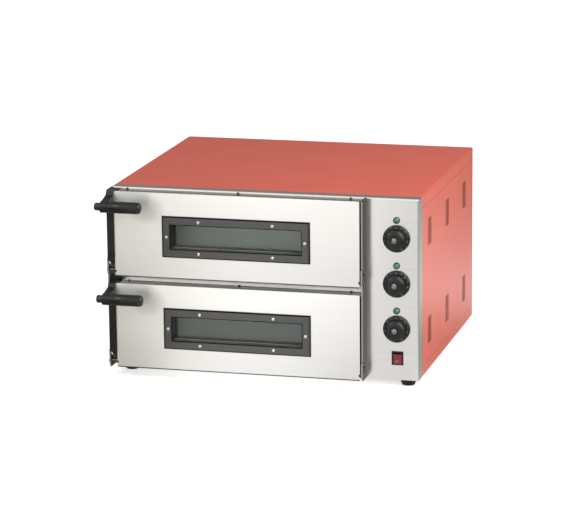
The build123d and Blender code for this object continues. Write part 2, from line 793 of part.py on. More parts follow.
def stone_rails():
    """Angles on the chamber walls that the stones sit on."""
    rails = []
    for bottom in DOOR_BOTTOMS.values():
        low = bottom + STONE_RISE
        for wall, way in ((CHAMBER_X[0], 1), (CHAMBER_X[1], -1)):
            shelf = sorted((wall, wall + way * 12))
            leg = sorted((wall, wall + way * 1.5))
            rail = block(shelf, (8, 385), (low - 1.5, low))
            rails.append(rail + block(leg, (8, 385), (low, low + 9)))
    return group(rails)


def heating_elements():
    """Four tubular elements, each bent to four runs, with both ends out to the right."""
    left = CHAMBER_X[0] + 14
    right = CHAMBER_X[1] - 14
    bend = (ELEMENT_RUNS_Y[1] - ELEMENT_RUNS_Y[0]) / 2
    first, second, third, fourth = ELEMENT_RUNS_Y
    elements = []
    for bottom in DOOR_BOTTOMS.values():
        for rise in ELEMENT_RISES:
            z = bottom + rise
            path = [
                (ELEMENT_END_X, first, z),
                (left, first, z),
                (left, second, z),
                (right, second, z),
                (right, third, z),
                (left, third, z),
                (left, fourth, z),
                (ELEMENT_END_X, fourth, z),
            ]
            elements.append(tube(path, bend - 0.01, ELEMENT_RADIUS))
    return group(elements)


def element_terminals():
    """Ceramic collar and threaded stud on each element end."""
    solids = []
    for bottom in DOOR_BOTTOMS.values():
        for rise in ELEMENT_RISES:
            for y in (ELEMENT_RUNS_Y[0], ELEMENT_RUNS_Y[-1]):
                z = bottom + rise
                collar = rod_x(6, (469, 481), y, z) - rod_x(ELEMENT_RADIUS, (460, 490), y, z)
                stud = rod_x(2, (ELEMENT_END_X, ELEMENT_END_X + 12), y, z)
                solids += [collar, stud + rod_x(3.4, (490, 493), y, z)]
    return group(solids)


def chamber_insulation():
    """Mineral wool around and between the two chambers."""
    clear = 0.5
    left = (2 * SHEET + clear, CHAMBER_X[0] - SHEET - clear)
    right = (CHAMBER_X[1] + SHEET + clear, 466)
    whole_x = (left[0], right[1])
    depth = (2 * SHEET + clear + 14, DEPTH - 3 * SHEET - clear - 10)
    back = (CHAMBER_BACK + SHEET + clear, depth[1])
    below = {deck: low + CHAMBER_FLOOR - SHEET - clear for deck, low in DOOR_BOTTOMS.items()}
    above = {deck: low + CHAMBER_CEILING + SHEET + clear for deck, low in DOOR_BOTTOMS.items()}
    blankets = [
        block(whole_x, depth, (3 * SHEET + 5, below["lower"])),
        block(whole_x, depth, (above["lower"], below["upper"])),
        block(whole_x, depth, (above["upper"], HEIGHT - 3 * SHEET - clear)),
    ]
    for deck, bottom in DOOR_BOTTOMS.items():
        z = (below[deck] + clear, above[deck] - clear)
        sides = (depth[0], CHAMBER_BACK + SHEET)
        blankets.append(block(left, sides, z))
        wall = cut(block(right, sides, z), element_outlets(bottom, 5, (440, 468)))
        blankets.append(cut(wall, [rod_x(2.5, (440, 468), BULB_Y, rise) for rise in bulb_rises()]))
        blankets.append(block(whole_x, back, z))
    return group(blankets)


def control_bay_divider():
    """Sheet wall between the hot side and the control bay."""
    wall = block(DIVIDER_X, (2 * SHEET + 1, DEPTH - 2 * SHEET - 1), (2 * SHEET, HEIGHT - 3 * SHEET))
    foot = block((DIVIDER_X[0], DIVIDER_X[1] + 12), (60, 400), (2 * SHEET, 3 * SHEET))
    tools = []
    for bottom in DOOR_BOTTOMS.values():
        tools += element_outlets(bottom, 6.2, (470, 476))
    tools += [rod_x(2, (470, 476), BULB_Y, rise) for rise in bulb_rises()]
    return cut(wall + foot, tools)


# Control column -----------------------------------------------------------------------------


def bulb_rises():
    """Heights of the three temperature bulbs: two in the upper deck, one in the lower."""
    upper = DOOR_BOTTOMS["upper"]
    return (KNOB_RISES["lower"], upper + 50, KNOB_RISES["upper"])


def knob(name):
    """Dial skirt and waisted grip in one moulding."""
    z = KNOB_RISES[name]
    profile = [
        (0, KNOB_BACK),
        (SKIRT_RADIUS, KNOB_BACK),
        (SKIRT_RADIUS, KNOB_BACK - 2),
        (SKIRT_RADIUS - 1.5, KNOB_BACK - 4),
        (18.6, KNOB_BACK - 5),
        (17.6, KNOB_FRONT + 2),
        (16, KNOB_FRONT),
        (0, KNOB_FRONT),
    ]
    face = make_face(Polyline(*[(r, y, 0) for r, y in profile], close=True))
    body = revolve(face, Axis.Y)
    body -= rod_y(SPINDLE_RADIUS, 0, (KNOB_FRONT - 1, 0), 0)
    body -= rod_y(6.6, 0, (KNOB_FRONT - 1, KNOB_FRONT + 3), 0)
    return Pos(CONTROL_X, 0, z) * body


def knob_spindle(name):
    """Thermostat spindle with the chrome cap that shows at the knob's centre."""
    z = KNOB_RISES[name]
    shaft = rod_y(SPINDLE_RADIUS, CONTROL_X, (KNOB_FRONT + 1, 22), z)
    cap = rod_y(6, CONTROL_X, (KNOB_FRONT - 1, KNOB_FRONT + 3), z)
    cap = fillet(cap.edges().group_by(Axis.Y)[0], 1.5)
    return shaft + cap


def thermostats():
    """Thermostat bodies behind the panel."""
    bodies = []
    for z in KNOB_RISES.values():
        body = block((CONTROL_X - 17, CONTROL_X + 17), (4, 34), (z - 21, z + 21))
        body += rod_y(12, CONTROL_X, (34, 44), z)
        body += rod_y(4.9, CONTROL_X, (-0.5, 5), z)
        nut = rod_y(8, CONTROL_X, (SHEET, 4), z)
        bore = rod_y(SPINDLE_RADIUS + RUNNING_GAP, CONTROL_X, (-1, 24), z)
        bodies.append(body + nut - bore)
    return group(bodies)


def thermostat_bulbs():
    """Capillary of each thermostat with the bulb at its end inside a chamber."""
    bulbs = []
    bay_x = CONTROL_X + 26
    for knob_z, bulb_z in zip(KNOB_RISES.values(), bulb_rises()):
        path = [(CONTROL_X, 44, knob_z), (CONTROL_X, 56, knob_z), (bay_x, 56, knob_z)]
        if knob_z != bulb_z:
            path += [(bay_x, 90, knob_z), (bay_x, 90, bulb_z)]
        path += [(bay_x, BULB_Y, bulb_z), (CHAMBER_X[1] - 20, BULB_Y, bulb_z)]
        capillary = tube(path, 6, 0.9)
        bulb = rod_x(3, (CHAMBER_X[1] - 110, CHAMBER_X[1] - 18), BULB_Y, bulb_z)
        bulbs.append(capillary + bulb)
    return group(bulbs)


def lamp_lenses():
    """Three domed green lenses."""
    lenses = []
    for rise in KNOB_RISES.values():
        z = rise + LAMP_OFFSET
        lens = rod_y(4.9, CONTROL_X, (-4, -0.4), z)
        lenses.append(fillet(lens.edges().group_by(Axis.Y)[0], 2.4))
    return group(lenses)


def lamp_holders():
    """Bezel, body and nut of each lamp."""
    holders = []
    for rise in KNOB_RISES.values():
        z = rise + LAMP_OFFSET
        bezel = rod_y(LAMP_RADIUS, CONTROL_X, (-1.8, 0), z) - rod_y(4.9, CONTROL_X, (-3, -0.4), z)
        body = rod_y(4.6, CONTROL_X, (-0.4, 24), z)
        nut = rod_y(6.5, CONTROL_X, (SHEET, 5), z)
        holders.append(bezel + body + nut)
    return group(holders)


def switch_block(size, y):
    """Block of the given width and height centred on the switch."""
    x, z = SWITCH_CENTRE
    half_x, half_z = (side / 2 for side in size)
    return block((x - half_x, x + half_x), y, (z - half_z, z + half_z))


def switch_housing():
    """Black bezel and body that the rocker sits in."""
    bezel = switch_block(SWITCH_BEZEL, (-1.8, 0))
    bezel = chamfer(bezel.edges().group_by(Axis.Y)[0], 0.8)
    body = switch_block(grown(SWITCH_OPENING, 0.9), (-0.5, 24))
    pocket = switch_block(SWITCH_OPENING, (-3, 16))
    x, z = SWITCH_CENTRE
    trunnion = rod_x(1.3 + RUNNING_GAP, (x - 8.6, x + 8.6), ROCKER_PIVOT_Y, z)
    blades = [block((x + dx - 0.4, x + dx + 0.4), (23, 32), (z - 3, z + 3)) for dx in (-5, 5)]
    return bezel + body - pocket - trunnion + blades[0] + blades[1]


def rocker():
    """Red rocker at off: its lower half pressed in and its upper half standing out."""
    x, z = SWITCH_CENTRE
    half_x = ROCKER_SIZE[0] / 2
    half_z = ROCKER_SIZE[1] / 2
    outline = [
        (-8, half_z - 0.4),
        (-6, 0),
        (-8, -half_z + 0.4),
        (0, -half_z + 0.8),
        (6, -5),
        (6, 5),
        (0, half_z - 0.8),
    ]
    body = prism_x(outline, (-half_x, half_x)) + rod_x(1.3, (-8.4, 8.4), 0, 0)
    return Pos(x, ROCKER_PIVOT_Y, z) * Rot(ROCKER_TILT, 0, 0) * body


def wiring_loom():
    """Insulated wires from the terminal block to the thermostats, switch and elements."""
    wires = []
    start = (TERMINAL_BLOCK_Y[0], 18)
    for lane, rise in enumerate(KNOB_RISES.values()):
        x = CONTROL_X - 14 + lane * 5
        turn_y = 120 + lane * 12
        end_z = rise - 14
        path = [(x, *start), (x, turn_y, start[1]), (x, turn_y, end_z), (x, 34.2, end_z)]
        wires.append(tube(path, 8, 1.4))
    return group(wires)


def terminal_block():
    """Mains terminal block on the floor pan."""
    body = block((480, 540), TERMINAL_BLOCK_Y, (2 * SHEET, 24 + 2 * SHEET))
    middle = sum(TERMINAL_BLOCK_Y) / 2
    return cut(body, [rod_z(2.2, 486 + 12 * i, middle, (16, 30)) for i in range(5)])


def cable_gland():
    """Gland that grips the mains cable in the back panel."""
    bore = rod_y(CABLE_RADIUS + 0.2, GLAND_X, (DEPTH - 20, DEPTH + 30), GLAND_Z)
    hexagon = extrude(RegularPolygon(13, 6), amount=6)
    flange = Pos(GLAND_X, DEPTH + 6, GLAND_Z) * Rot(90, 0, 0) * hexagon
    dome = rod_y(10.5, GLAND_X, (DEPTH + 5, DEPTH + 18), GLAND_Z)
    dome = fillet(dome.edges().group_by(Axis.Y)[-1], 3)
    thread = rod_y(8, GLAND_X, (DEPTH - 9, DEPTH + 1), GLAND_Z)
    nut = rod_y(11, GLAND_X, (DEPTH - 8, DEPTH - 2 * SHEET), GLAND_Z)
    return flange + dome + thread + nut - bore


def mains_cable():
    """Mains cable from the terminal block, out through the gland and along the table."""
    table = -FOOT_HEIGHT + CABLE_RADIUS + 0.2
    out = DEPTH + CABLE_REACH
    path = [
        (GLAND_X, 468, GLAND_Z),
        (GLAND_X, out, GLAND_Z),
        (GLAND_X, out, table),
        (PLUG_X + 40, out, table),
    ]
    return tube(path, 18, CABLE_RADIUS)


def mains_plug():
    """Moulded plug with two round pins."""
    table = -FOOT_HEIGHT + CABLE_RADIUS + 0.2
    out = DEPTH + CABLE_REACH
    sleeve = rod_x(6, (PLUG_X + 14, PLUG_X + 40), 0, 0)
    body = block((PLUG_X - 18, PLUG_X + 16), (-12, 12), (-4, 10))
    body = fillet(body.edges(), 3)
    plug = sleeve + body
    pins = [rod_x(2.4, (PLUG_X - 37, PLUG_X - 17), dy, 3) for dy in (-9.2, 9.2)]
    plug += pins[0] + pins[1]
    plug -= block((PLUG_X, PLUG_X + 50), (-15, 15), (-15, -CABLE_RADIUS - 0.1))
    return Pos(0, out, table) * plug


def write_casing():
    """Casing, feet and fasteners."""
    write("front_fascia", front_fascia())
    write("top_cover", top_cover())
    write("base_pan", base_pan())
    write("side_panel_left", side_panel((-1, 4)))
    write("side_panel_right", side_panel((WIDTH - 4, WIDTH + 1)))
    write("back_panel", back_panel())
    write("casing_screws", casing_screws())
    write("feet", group([Pos(x, y, 0) * foot() for x, y in foot_places()]))
    write("foot_screws", group([Pos(x, y, 0) * foot_screw(y) for x, y in foot_places()]))
    write("hinge_cheeks", hinge_cheeks())
    write("hinge_pins", hinge_pins())


def write_hot_side():
    """Chambers and what they hold."""
    for deck in DOOR_BOTTOMS:
        write(f"chamber_{deck}", chamber(deck))
    write("baking_stones", baking_stones())
    write("stone_rails", stone_rails())
    write("heating_elements", heating_elements())
    write("element_terminals", element_terminals())
    write("chamber_insulation", chamber_insulation())
    write("control_bay_divider", control_bay_divider())


def write_control_bay():
    """Controls, wiring and mains lead."""
    write("thermostats", thermostats())
    write("thermostat_bulbs", thermostat_bulbs())
    write("lamp_lenses", lamp_lenses())
    write("lamp_holders", lamp_holders())
    write("switch_housing", switch_housing())
    write("switch_rocker", rocker())
    write("wiring_loom", wiring_loom())
    write("terminal_block", terminal_block())
    write("cable_gland", cable_gland())
    write("mains_cable", mains_cable())
    write("mains_plug", mains_plug())
    for name in KNOB_RISES:
        write(f"knob_{name}", knob(name))
        write(f"knob_spindle_{name}", knob_spindle(name))


def write_doors():
    """Both doors, piece by piece."""
    makers = {
        "outer_panel": door_outer_panel,
        "inner_pan": door_inner_pan,
        "insulation": door_insulation,
        "seal": door_seal,
        "window_channel": window_channel,
        "window_panes": window_panes,
        "window_frame": window_frame,
        "window_screws": window_screws,
        "handle_arm": handle_arm,
        "handle_grip": handle_grip,
        "handle_fixings": handle_fixings,
        "hinge_fittings": hinge_fittings,
    }
    for deck, bottom in DOOR_BOTTOMS.items():
        for name, make in makers.items():
            write(f"door_{deck}_{name}", make(bottom))


os.makedirs("parts", exist_ok=True)
write_casing()
write_hot_side()
write_control_bay()
write_doors()
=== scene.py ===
import json
import math

import bmesh
import bpy
from mathutils import Matrix, Vector


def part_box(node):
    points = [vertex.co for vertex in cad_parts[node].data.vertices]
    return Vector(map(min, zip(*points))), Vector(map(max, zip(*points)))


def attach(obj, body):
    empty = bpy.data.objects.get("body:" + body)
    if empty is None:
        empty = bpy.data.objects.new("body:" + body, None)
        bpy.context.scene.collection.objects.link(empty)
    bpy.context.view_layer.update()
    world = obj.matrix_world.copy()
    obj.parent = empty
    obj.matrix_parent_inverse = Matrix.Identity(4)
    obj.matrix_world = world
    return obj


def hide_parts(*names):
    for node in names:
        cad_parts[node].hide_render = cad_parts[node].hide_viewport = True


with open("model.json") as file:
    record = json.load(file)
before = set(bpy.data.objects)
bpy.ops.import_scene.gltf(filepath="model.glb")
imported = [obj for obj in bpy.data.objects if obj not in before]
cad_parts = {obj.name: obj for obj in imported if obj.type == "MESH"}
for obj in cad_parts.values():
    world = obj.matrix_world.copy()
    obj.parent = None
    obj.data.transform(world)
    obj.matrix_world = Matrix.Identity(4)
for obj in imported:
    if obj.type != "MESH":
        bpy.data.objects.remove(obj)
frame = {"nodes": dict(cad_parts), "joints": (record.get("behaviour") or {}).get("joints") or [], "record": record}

MM = 0.001
DECKS = ("lower", "upper")
DIALS = ("lower", "middle", "upper")
X_AXIS = Vector((1, 0, 0))
Y_AXIS = Vector((0, 1, 0))
Z_AXIS = Vector((0, 0, 1))

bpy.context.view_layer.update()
CASING_LOW, CASING_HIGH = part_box("front_fascia")
TABLE_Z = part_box("feet")[0].z
DOOR_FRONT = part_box("door_lower_outer_panel")[0].y
DOOR_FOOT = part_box("door_lower_outer_panel")[0].z
DECK_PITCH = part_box("door_upper_outer_panel")[0].z - DOOR_FOOT
SHEET_DEPTH = 1.3 * MM


# Mesh helpers -------------------------------------------------------------------------------


def mesh_object(name, bm, smooth_angle=35):
    """Turn a bmesh into a linked object with smooth shading up to an angle."""
    bmesh.ops.recalc_face_normals(bm, faces=bm.faces)
    mesh = bpy.data.meshes.new(name)
    bm.to_mesh(mesh)
    bm.free()
    piece = bpy.data.objects.new(name, mesh)
    bpy.context.scene.collection.objects.link(piece)
    shade(piece, smooth_angle)
    return piece


def shade(piece, smooth_angle=35):
    """Smooth shading with edges over the given angle kept sharp."""
    piece.data.shade_smooth()
    piece.data.set_sharp_from_angle(angle=math.radians(smooth_angle))


def soften(piece, width, segments=2, angle=35):
    """Round a piece's hard edges with a bevel, width in millimetres."""
    bevel = piece.modifiers.new("soft_edges", "BEVEL")
    bevel.width = width * MM
    bevel.segments = segments
    bevel.limit_method = "ANGLE"
    bevel.angle_limit = math.radians(angle)
    bevel.harden_normals = True
    return piece


def frame_of(axis):
    """Two directions square to an axis."""
    side = Z_AXIS if abs(axis.z) < 0.9 else X_AXIS
    first = axis.cross(side).normalized()
    return first, axis.cross(first).normalized()


def lathe(name, centre, axis, profile, steps=96, shape=None, smooth_angle=35):
    """Closed solid turned about an axis; profile holds (radius, distance) in millimetres.

    shape(radius, distance, angle), where given, changes the radius round the turn."""
    first, second = frame_of(axis)
    bm = bmesh.new()
    rings = []
    for radius, distance in profile:
        along = centre + axis * distance * MM
        if radius == 0:
            rings.append([bm.verts.new(along)])
            continue
        ring = []
        for step in range(steps):
            angle = math.tau * step / steps
            r = shape(radius, distance, angle) if shape else radius
            out = first * math.cos(angle) + second * math.sin(angle)
            ring.append(bm.verts.new(along + out * r * MM))
        rings.append(ring)
    for below, above in zip(rings, rings[1:]):
        skin_rings(bm, below, above)
    return mesh_object(name, bm, smooth_angle)


def skin_rings(bm, below, above):
    """Faces between two rings of points, either of which may be a single point."""
    steps = max(len(below), len(above))
    for step in range(steps):
        after = (step + 1) % steps
        if len(below) == 1:
            corners = (below[0], above[after], above[step])
        elif len(above) == 1:
            corners = (below[step], below[after], above[0])
        else:
            corners = (below[step], below[after], above[after], above[step])
        bm.faces.new(corners)


def turned_ring(name, centre, axis, outline, steps=96):
    """Closed ring turned about an axis from a closed (radius, distance) outline."""
    first, second = frame_of(axis)
    bm = bmesh.new()
    rings = []
    for step in range(steps):
        angle = math.tau * step / steps
        out = first * math.cos(angle) + second * math.sin(angle)
        rings.append(
            [bm.verts.new(centre + (axis * d + out * r) * MM) for r, d in outline]
        )
    for ring, after in zip(rings, rings[1:] + rings[:1]):
        skin_rings(bm, ring, after)
    return mesh_object(name, bm)


def prism(bm, corners, depth):
    """Closed prism from a flat outline of points, pushed along a vector."""
    base = [bm.verts.new(corner) for corner in corners]
    top = [bm.verts.new(corner + depth) for corner in corners]
    bm.faces.new(base)
    bm.faces.new(top[::-1])
    skin_rings(bm, base, top)


def swept_tube(name, path, radius, sides=24, closed=False, ripple=None):
    """Round tube along points in metres; ripple(step, angle) changes the radius."""
    count = len(path)
    bm = bmesh.new()
    rings = []
    up = Z_AXIS
    for step, point in enumerate(path):
        before = path[step - 1] if closed or step else point
        after = path[(step + 1) % count] if closed or step < count - 1 else point
        along = (after - before).normalized()
        side = along.cross(up)
        side = side.normalized() if side.length > 0.05 else along.cross(Y_AXIS).normalized()
        over = side.cross(along).normalized()
        ring = []
        for corner in range(sides):
            angle = math.tau * corner / sides
            r = radius * (ripple(step, angle) if ripple else 1)
            ring.append(bm.verts.new(point + (side * math.cos(angle) + over * math.sin(angle)) * r))
        rings.append(ring)
    pairs = list(zip(rings, rings[1:]))
    if closed:
        pairs.append((rings[-1], rings[0]))
    for below, above in pairs:
        skin_rings(bm, below, above)
    if not closed:
        bm.faces.new(rings[0])
        bm.faces.new(rings[-1])
    return mesh_object(name, bm)


def join(name, parts):
    """One object out of several, in place."""
    bm = bmesh.new()
    for part in parts:
        bm.from_mesh(part.data)
        bpy.data.objects.remove(part)
    return mesh_object(name, bm)


# Materials ----------------------------------------------------------------------------------


class Recipe:
    """A material built node by node over the object's own coordinates."""

    def __init__(self, name):
        self.material = bpy.data.materials.new(name)
        self.material.use_nodes = True
        self.tree = self.material.node_tree
        self.shader = self.tree.nodes["Principled BSDF"]
        self.coords = self.add("TexCoord").outputs["Object"]

    def add(self, kind, attributes=None, **inputs):
        """New shader node with its settings and inputs."""
        node = self.tree.nodes.new("ShaderNode" + kind)
        for key, value in (attributes or {}).items():
            setattr(node, key, value)
        for key, value in inputs.items():
            self.feed(node.inputs[key.replace("_", " ")], value)
        return node

    def feed(self, socket, value):
        """Link a socket to another, or set its value."""
        if isinstance(value, bpy.types.NodeSocket):
            self.tree.links.new(value, socket)
        else:
            socket.default_value = value

    def math(self, operation, first, second=0.0):
        """Math node on two values."""
        node = self.add("Math", {"operation": operation})
        self.feed(node.inputs[0], first)
        self.feed(node.inputs[1], second)
        return node.outputs[0]

    def axis(self, name):
        """One of the object's own coordinates, in metres."""
        return self.add("SeparateXYZ", Vector=self.coords).outputs[name]

    def facing(self, name):
        """How far the surface faces along one of the object's axes, from -1 to 1."""
        normal = self.add("TexCoord").outputs["Normal"]
        return self.add("SeparateXYZ", Vector=normal).outputs[name]

    def noise(self, cells, detail=2.0, rough=0.5, warp=0.0):
        """Noise with so many cells per metre along each axis."""
        place = self.add("Mapping", Vector=self.coords, Scale=cells).outputs["Vector"]
        node = self.add(
            "TexNoise", Vector=place, Scale=1.0, Detail=detail, Roughness=rough, Distortion=warp
        )
        return node.outputs["Fac"]

    def spread(self, value, low, high, start=0.3, end=0.7):
        """Value mapped from a start-end band to low-high."""
        node = self.add(
            "MapRange", Value=value, From_Min=start, From_Max=end, To_Min=low, To_Max=high
        )
        return node.outputs["Result"]

    def blend(self, share, first, second, mode="MIX"):
        """Colour between two colours, or another blend of them."""
        node = self.add("Mix", {"data_type": "RGBA", "blend_type": mode})
        self.feed(node.inputs[0], share)
        self.feed(node.inputs[6], first)
        self.feed(node.inputs[7], second)
        return node.outputs[2]

    def bump(self, height, distance, strength=1.0, after=None):
        """Bump from a height, distance in millimetres."""
        node = self.add("Bump", Height=height, Distance=distance * MM, Strength=strength)
        if after is not None:
            self.feed(node.inputs["Normal"], after)
        return node.outputs["Normal"]

    def shade(self, **inputs):
        """Set the surface shader's inputs and hand back the material."""
        for key, value in inputs.items():
            self.feed(self.shader.inputs[key.replace("_", " ")], value)
        return self.material


def grey(level, warmth=0.0):
    """Grey of a level with a little warmth."""
    return (level * (1 + warmth), level, level * (1 - warmth), 1)


def even(cells):
    """The same number of cells per metre along every axis."""
    return (cells, cells, cells)


def satin_steel(
    name, level, grain, roughness, warmth=0.01, painted_shade=None, shade_level=0.07, folded=None, light_gain=None
):
    """Stainless sheet: fine grain along one direction, faint streaks and a gentle wave.

    painted_shade, folded and light_gain take the recipe. They give the share of dark metal of the shade_level
    painted in as shade, a change of roughness, and a gain on the tone that paints light and shade."""
    recipe = Recipe(name)
    fine = recipe.noise(grain, detail=4.0, rough=0.7)
    streak = recipe.noise(tuple(g / 9 for g in grain), detail=2.0)
    smear = recipe.noise(even(9), detail=3.0, warp=0.4)
    wave = recipe.noise(even(8), detail=1.0)
    tone = recipe.math("ADD", recipe.math("MULTIPLY", streak, 0.5), recipe.math("MULTIPLY", fine, 0.5))
    colour = recipe.blend(
        recipe.spread(tone, 0.0, 1.0), grey(level * 0.96, warmth), grey(min(level * 1.03, 1.0), warmth)
    )
    if light_gain:
        gain = light_gain(recipe)
        tint = recipe.add("CombineColor", Red=gain, Green=gain, Blue=gain).outputs["Color"]
        colour = recipe.blend(1.0, colour, tint, "MULTIPLY")
    # Painted shade: dark metal blended in where the mask is high.
    if painted_shade:
        colour = recipe.blend(painted_shade(recipe), colour, (shade_level, shade_level * 0.94, shade_level * 0.80, 1))
    rough = recipe.math(
        "ADD",
        recipe.spread(fine, roughness[0], roughness[1]),
        recipe.spread(smear, -0.02, 0.04),
    )
    if folded:
        rough = recipe.math("ADD", rough, folded(recipe))
    normal = recipe.bump(wave, 0.25, 0.25)
    normal = recipe.bump(fine, 0.010, 0.3, after=normal)
    return recipe.shade(
        Base_Color=colour,
        Metallic=0.94,
        Roughness=rough,
        Anisotropic=0.3,
        Tangent=recipe.add("CombineXYZ", X=0.0, Y=0.0, Z=1.0).outputs[0],
        Normal=normal,
    )


def behind_front_sheet(recipe):
    """1 behind the doors' front sheets, 0 on them."""
    return recipe.math("GREATER_THAN", recipe.axis("Y"), DOOR_FRONT + SHEET_DEPTH)


def smooth_flange(recipe):
    """The doors' flanges are smoother than their brushed front sheets."""
    return recipe.math("MULTIPLY", behind_front_sheet(recipe), -0.24)


def seen_behind_front_sheet(recipe):
    """1 where the camera looks behind the doors' front sheets, 0 on them and in reflections."""
    seen = recipe.add("LightPath").outputs["Is Camera Ray"]
    return recipe.math("MULTIPLY", behind_front_sheet(recipe), seen)


def deck_height(recipe):
    """Height over the lower door's bottom, counted in decks."""
    return recipe.math("DIVIDE", recipe.math("SUBTRACT", recipe.axis("Z"), DOOR_FOOT), DECK_PITCH)


def door_painted_shade(recipe):
    """Painted shade: a dark line on the lip along each door's bottom, and dark metal where the camera looks behind
    the front sheets into the recess.
    """
    rise = recipe.math("FRACT", deck_height(recipe))
    lip = recipe.spread(rise, 0.94, 0.0, 1.7 * MM / DECK_PITCH, 2.1 * MM / DECK_PITCH)
    return recipe.math("MAXIMUM", lip, seen_behind_front_sheet(recipe))


def squared_offset(recipe, value, centre, reach):
    """Square of the distance from a centre, counted in reaches."""
    offset = recipe.math("DIVIDE", recipe.math("SUBTRACT", value, centre), reach)
    return recipe.math("POWER", offset, 2.0)


def door_painted_light(recipe):
    """Painted light and shade on each door: lighter towards its top as reflected light, the lower door a little
    darker, and a painted shadow of the grip beside it and a little below.
    """
    height = deck_height(recipe)
    rise = recipe.math("FRACT", height)
    light_fall = recipe.spread(rise, 0.90, 1.10, 0.0, 0.92)
    light_fall = recipe.math("MULTIPLY", light_fall, recipe.spread(height, 0.955, 1.0, 0.0, 1.0))
    # Painted shadow of each grip: the tone drops by about a quarter beside it.
    grip_low, grip_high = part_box("door_lower_handle_grip")
    centre = ((grip_low.z + grip_high.z) / 2 - 8 * MM - DOOR_FOOT) / DECK_PITCH
    apart = recipe.math(
        "ADD",
        squared_offset(recipe, recipe.axis("X"), grip_high.x, 36 * MM),
        squared_offset(recipe, rise, centre, 28 * MM / DECK_PITCH),
    )
    return recipe.math("MULTIPLY", light_fall, recipe.spread(apart, 0.74, 1.0, 0.0, 1.0))


def off_the_front(recipe):
    """1 where a face looks sideways or up, 0 where it looks forward."""
    return recipe.spread(recipe.math("ABSOLUTE", recipe.facing("Y")), 1.0, 0.0, 0.74, 0.92)


def turned_to(recipe, axis, share):
    """A share that grows as a face turns towards an axis."""
    return recipe.spread(recipe.facing(axis), 0.0, share, 0.3, 0.8)


def fascia_fold_shade(recipe):
    """Painted shade: darker metal where the fascia folds back over the top and wraps the side."""
    return recipe.math("ADD", turned_to(recipe, "Z", 0.34), turned_to(recipe, "X", 0.45))


def dull_wrap(recipe):
    """The fascia's wrap is duller than its face."""
    return turned_to(recipe, "X", 0.22)


RED = (0.545, 0.096, 0.066, 1)
RED_DARK = (0.533, 0.092, 0.063, 1)
RED_LIGHT = (0.557, 0.100, 0.069, 1)


def powder_coat(name, shaded_cuts=False):
    """Sprayed and baked paint: orange peel, faint mottling and a dusting of speckle.

    shaded_cuts paints the faces that don't look sideways, the slot walls and cut edges of the sheet, near black
    and without sheen, as painted shade inside the vents."""
    recipe = Recipe(name)
    peel = recipe.noise(even(700), detail=2.0, rough=0.6)
    mottle = recipe.noise(even(14), detail=4.0, warp=0.5)
    speckle = recipe.noise(even(1800), detail=1.0)
    tone = recipe.blend(recipe.spread(mottle, 0.0, 1.0), RED_DARK, RED_LIGHT)
    fleck = recipe.spread(speckle, 0.0, 0.08, 0.62, 0.72)
    tone = recipe.blend(fleck, tone, RED)
    gloss = 0.5
    if shaded_cuts:
        # Painted shade in the vents: faces that don't look sideways go near black and lose their sheen.
        cut = recipe.spread(recipe.math("ABSOLUTE", recipe.facing("X")), 1.0, 0.0, 0.2, 0.6)
        tone = recipe.blend(cut, tone, (0.012, 0.004, 0.003, 1))
        gloss = recipe.spread(cut, gloss, 0.0, 0.0, 1.0)
    return recipe.shade(
        Base_Color=tone,
        Roughness=recipe.spread(peel, 0.36, 0.46),
        Specular_IOR_Level=gloss,
        Normal=recipe.bump(peel, 0.05, 0.5),
    )


def aluminised_sheet(name, level):
    """Aluminised sheet with a cloudy surface and scuffs."""
    recipe = Recipe(name)
    cloud = recipe.noise(even(26), detail=5.0, rough=0.65, warp=0.6)
    scuff = recipe.noise((40, 900, 40), detail=3.0)
    stained = grey(level * 0.85, 0.01)
    return recipe.shade(
        Base_Color=recipe.blend(recipe.spread(cloud, 0.0, 1.0), stained, grey(level, 0.01)),
        Metallic=0.9,
        Roughness=recipe.spread(cloud, 0.38, 0.58),
        Normal=recipe.bump(scuff, 0.01, 0.5),
    )


def polished_metal(name, level, rough=0.12, warmth=0.0):
    """Turned or plated metal with faint tool marks."""
    recipe = Recipe(name)
    marks = recipe.noise(even(1500), detail=2.0)
    haze = recipe.noise(even(120), detail=3.0)
    hazy = grey(level * 0.9, warmth)
    return recipe.shade(
        Base_Color=recipe.blend(recipe.spread(haze, 0.0, 1.0), hazy, grey(level, warmth)),
        Metallic=1.0,
        Roughness=recipe.spread(marks, rough * 0.8, rough * 1.4),
        Normal=recipe.bump(marks, 0.008, 0.3),
    )


def moulded_black(name, level, rough, pit=0.02, cells=900, gloss=0.5):
    """Moulded plastic, bakelite or rubber with a fine skin and rubbed high spots."""
    recipe = Recipe(name)
    skin = recipe.noise(even(cells), detail=3.0, rough=0.6)
    wear = recipe.noise(even(60), detail=4.0, warp=0.6)
    colour = recipe.blend(recipe.spread(wear, 0.0, 1.0), grey(level * 0.7), grey(level * 1.35, 0.01))
    return recipe.shade(
        Base_Color=colour,
        Roughness=recipe.math(
            "ADD", recipe.spread(skin, rough - 0.05, rough + 0.05), recipe.spread(wear, -0.03, 0.05)
        ),
        Specular_IOR_Level=gloss,
        Normal=recipe.bump(skin, pit, 0.4),
    )


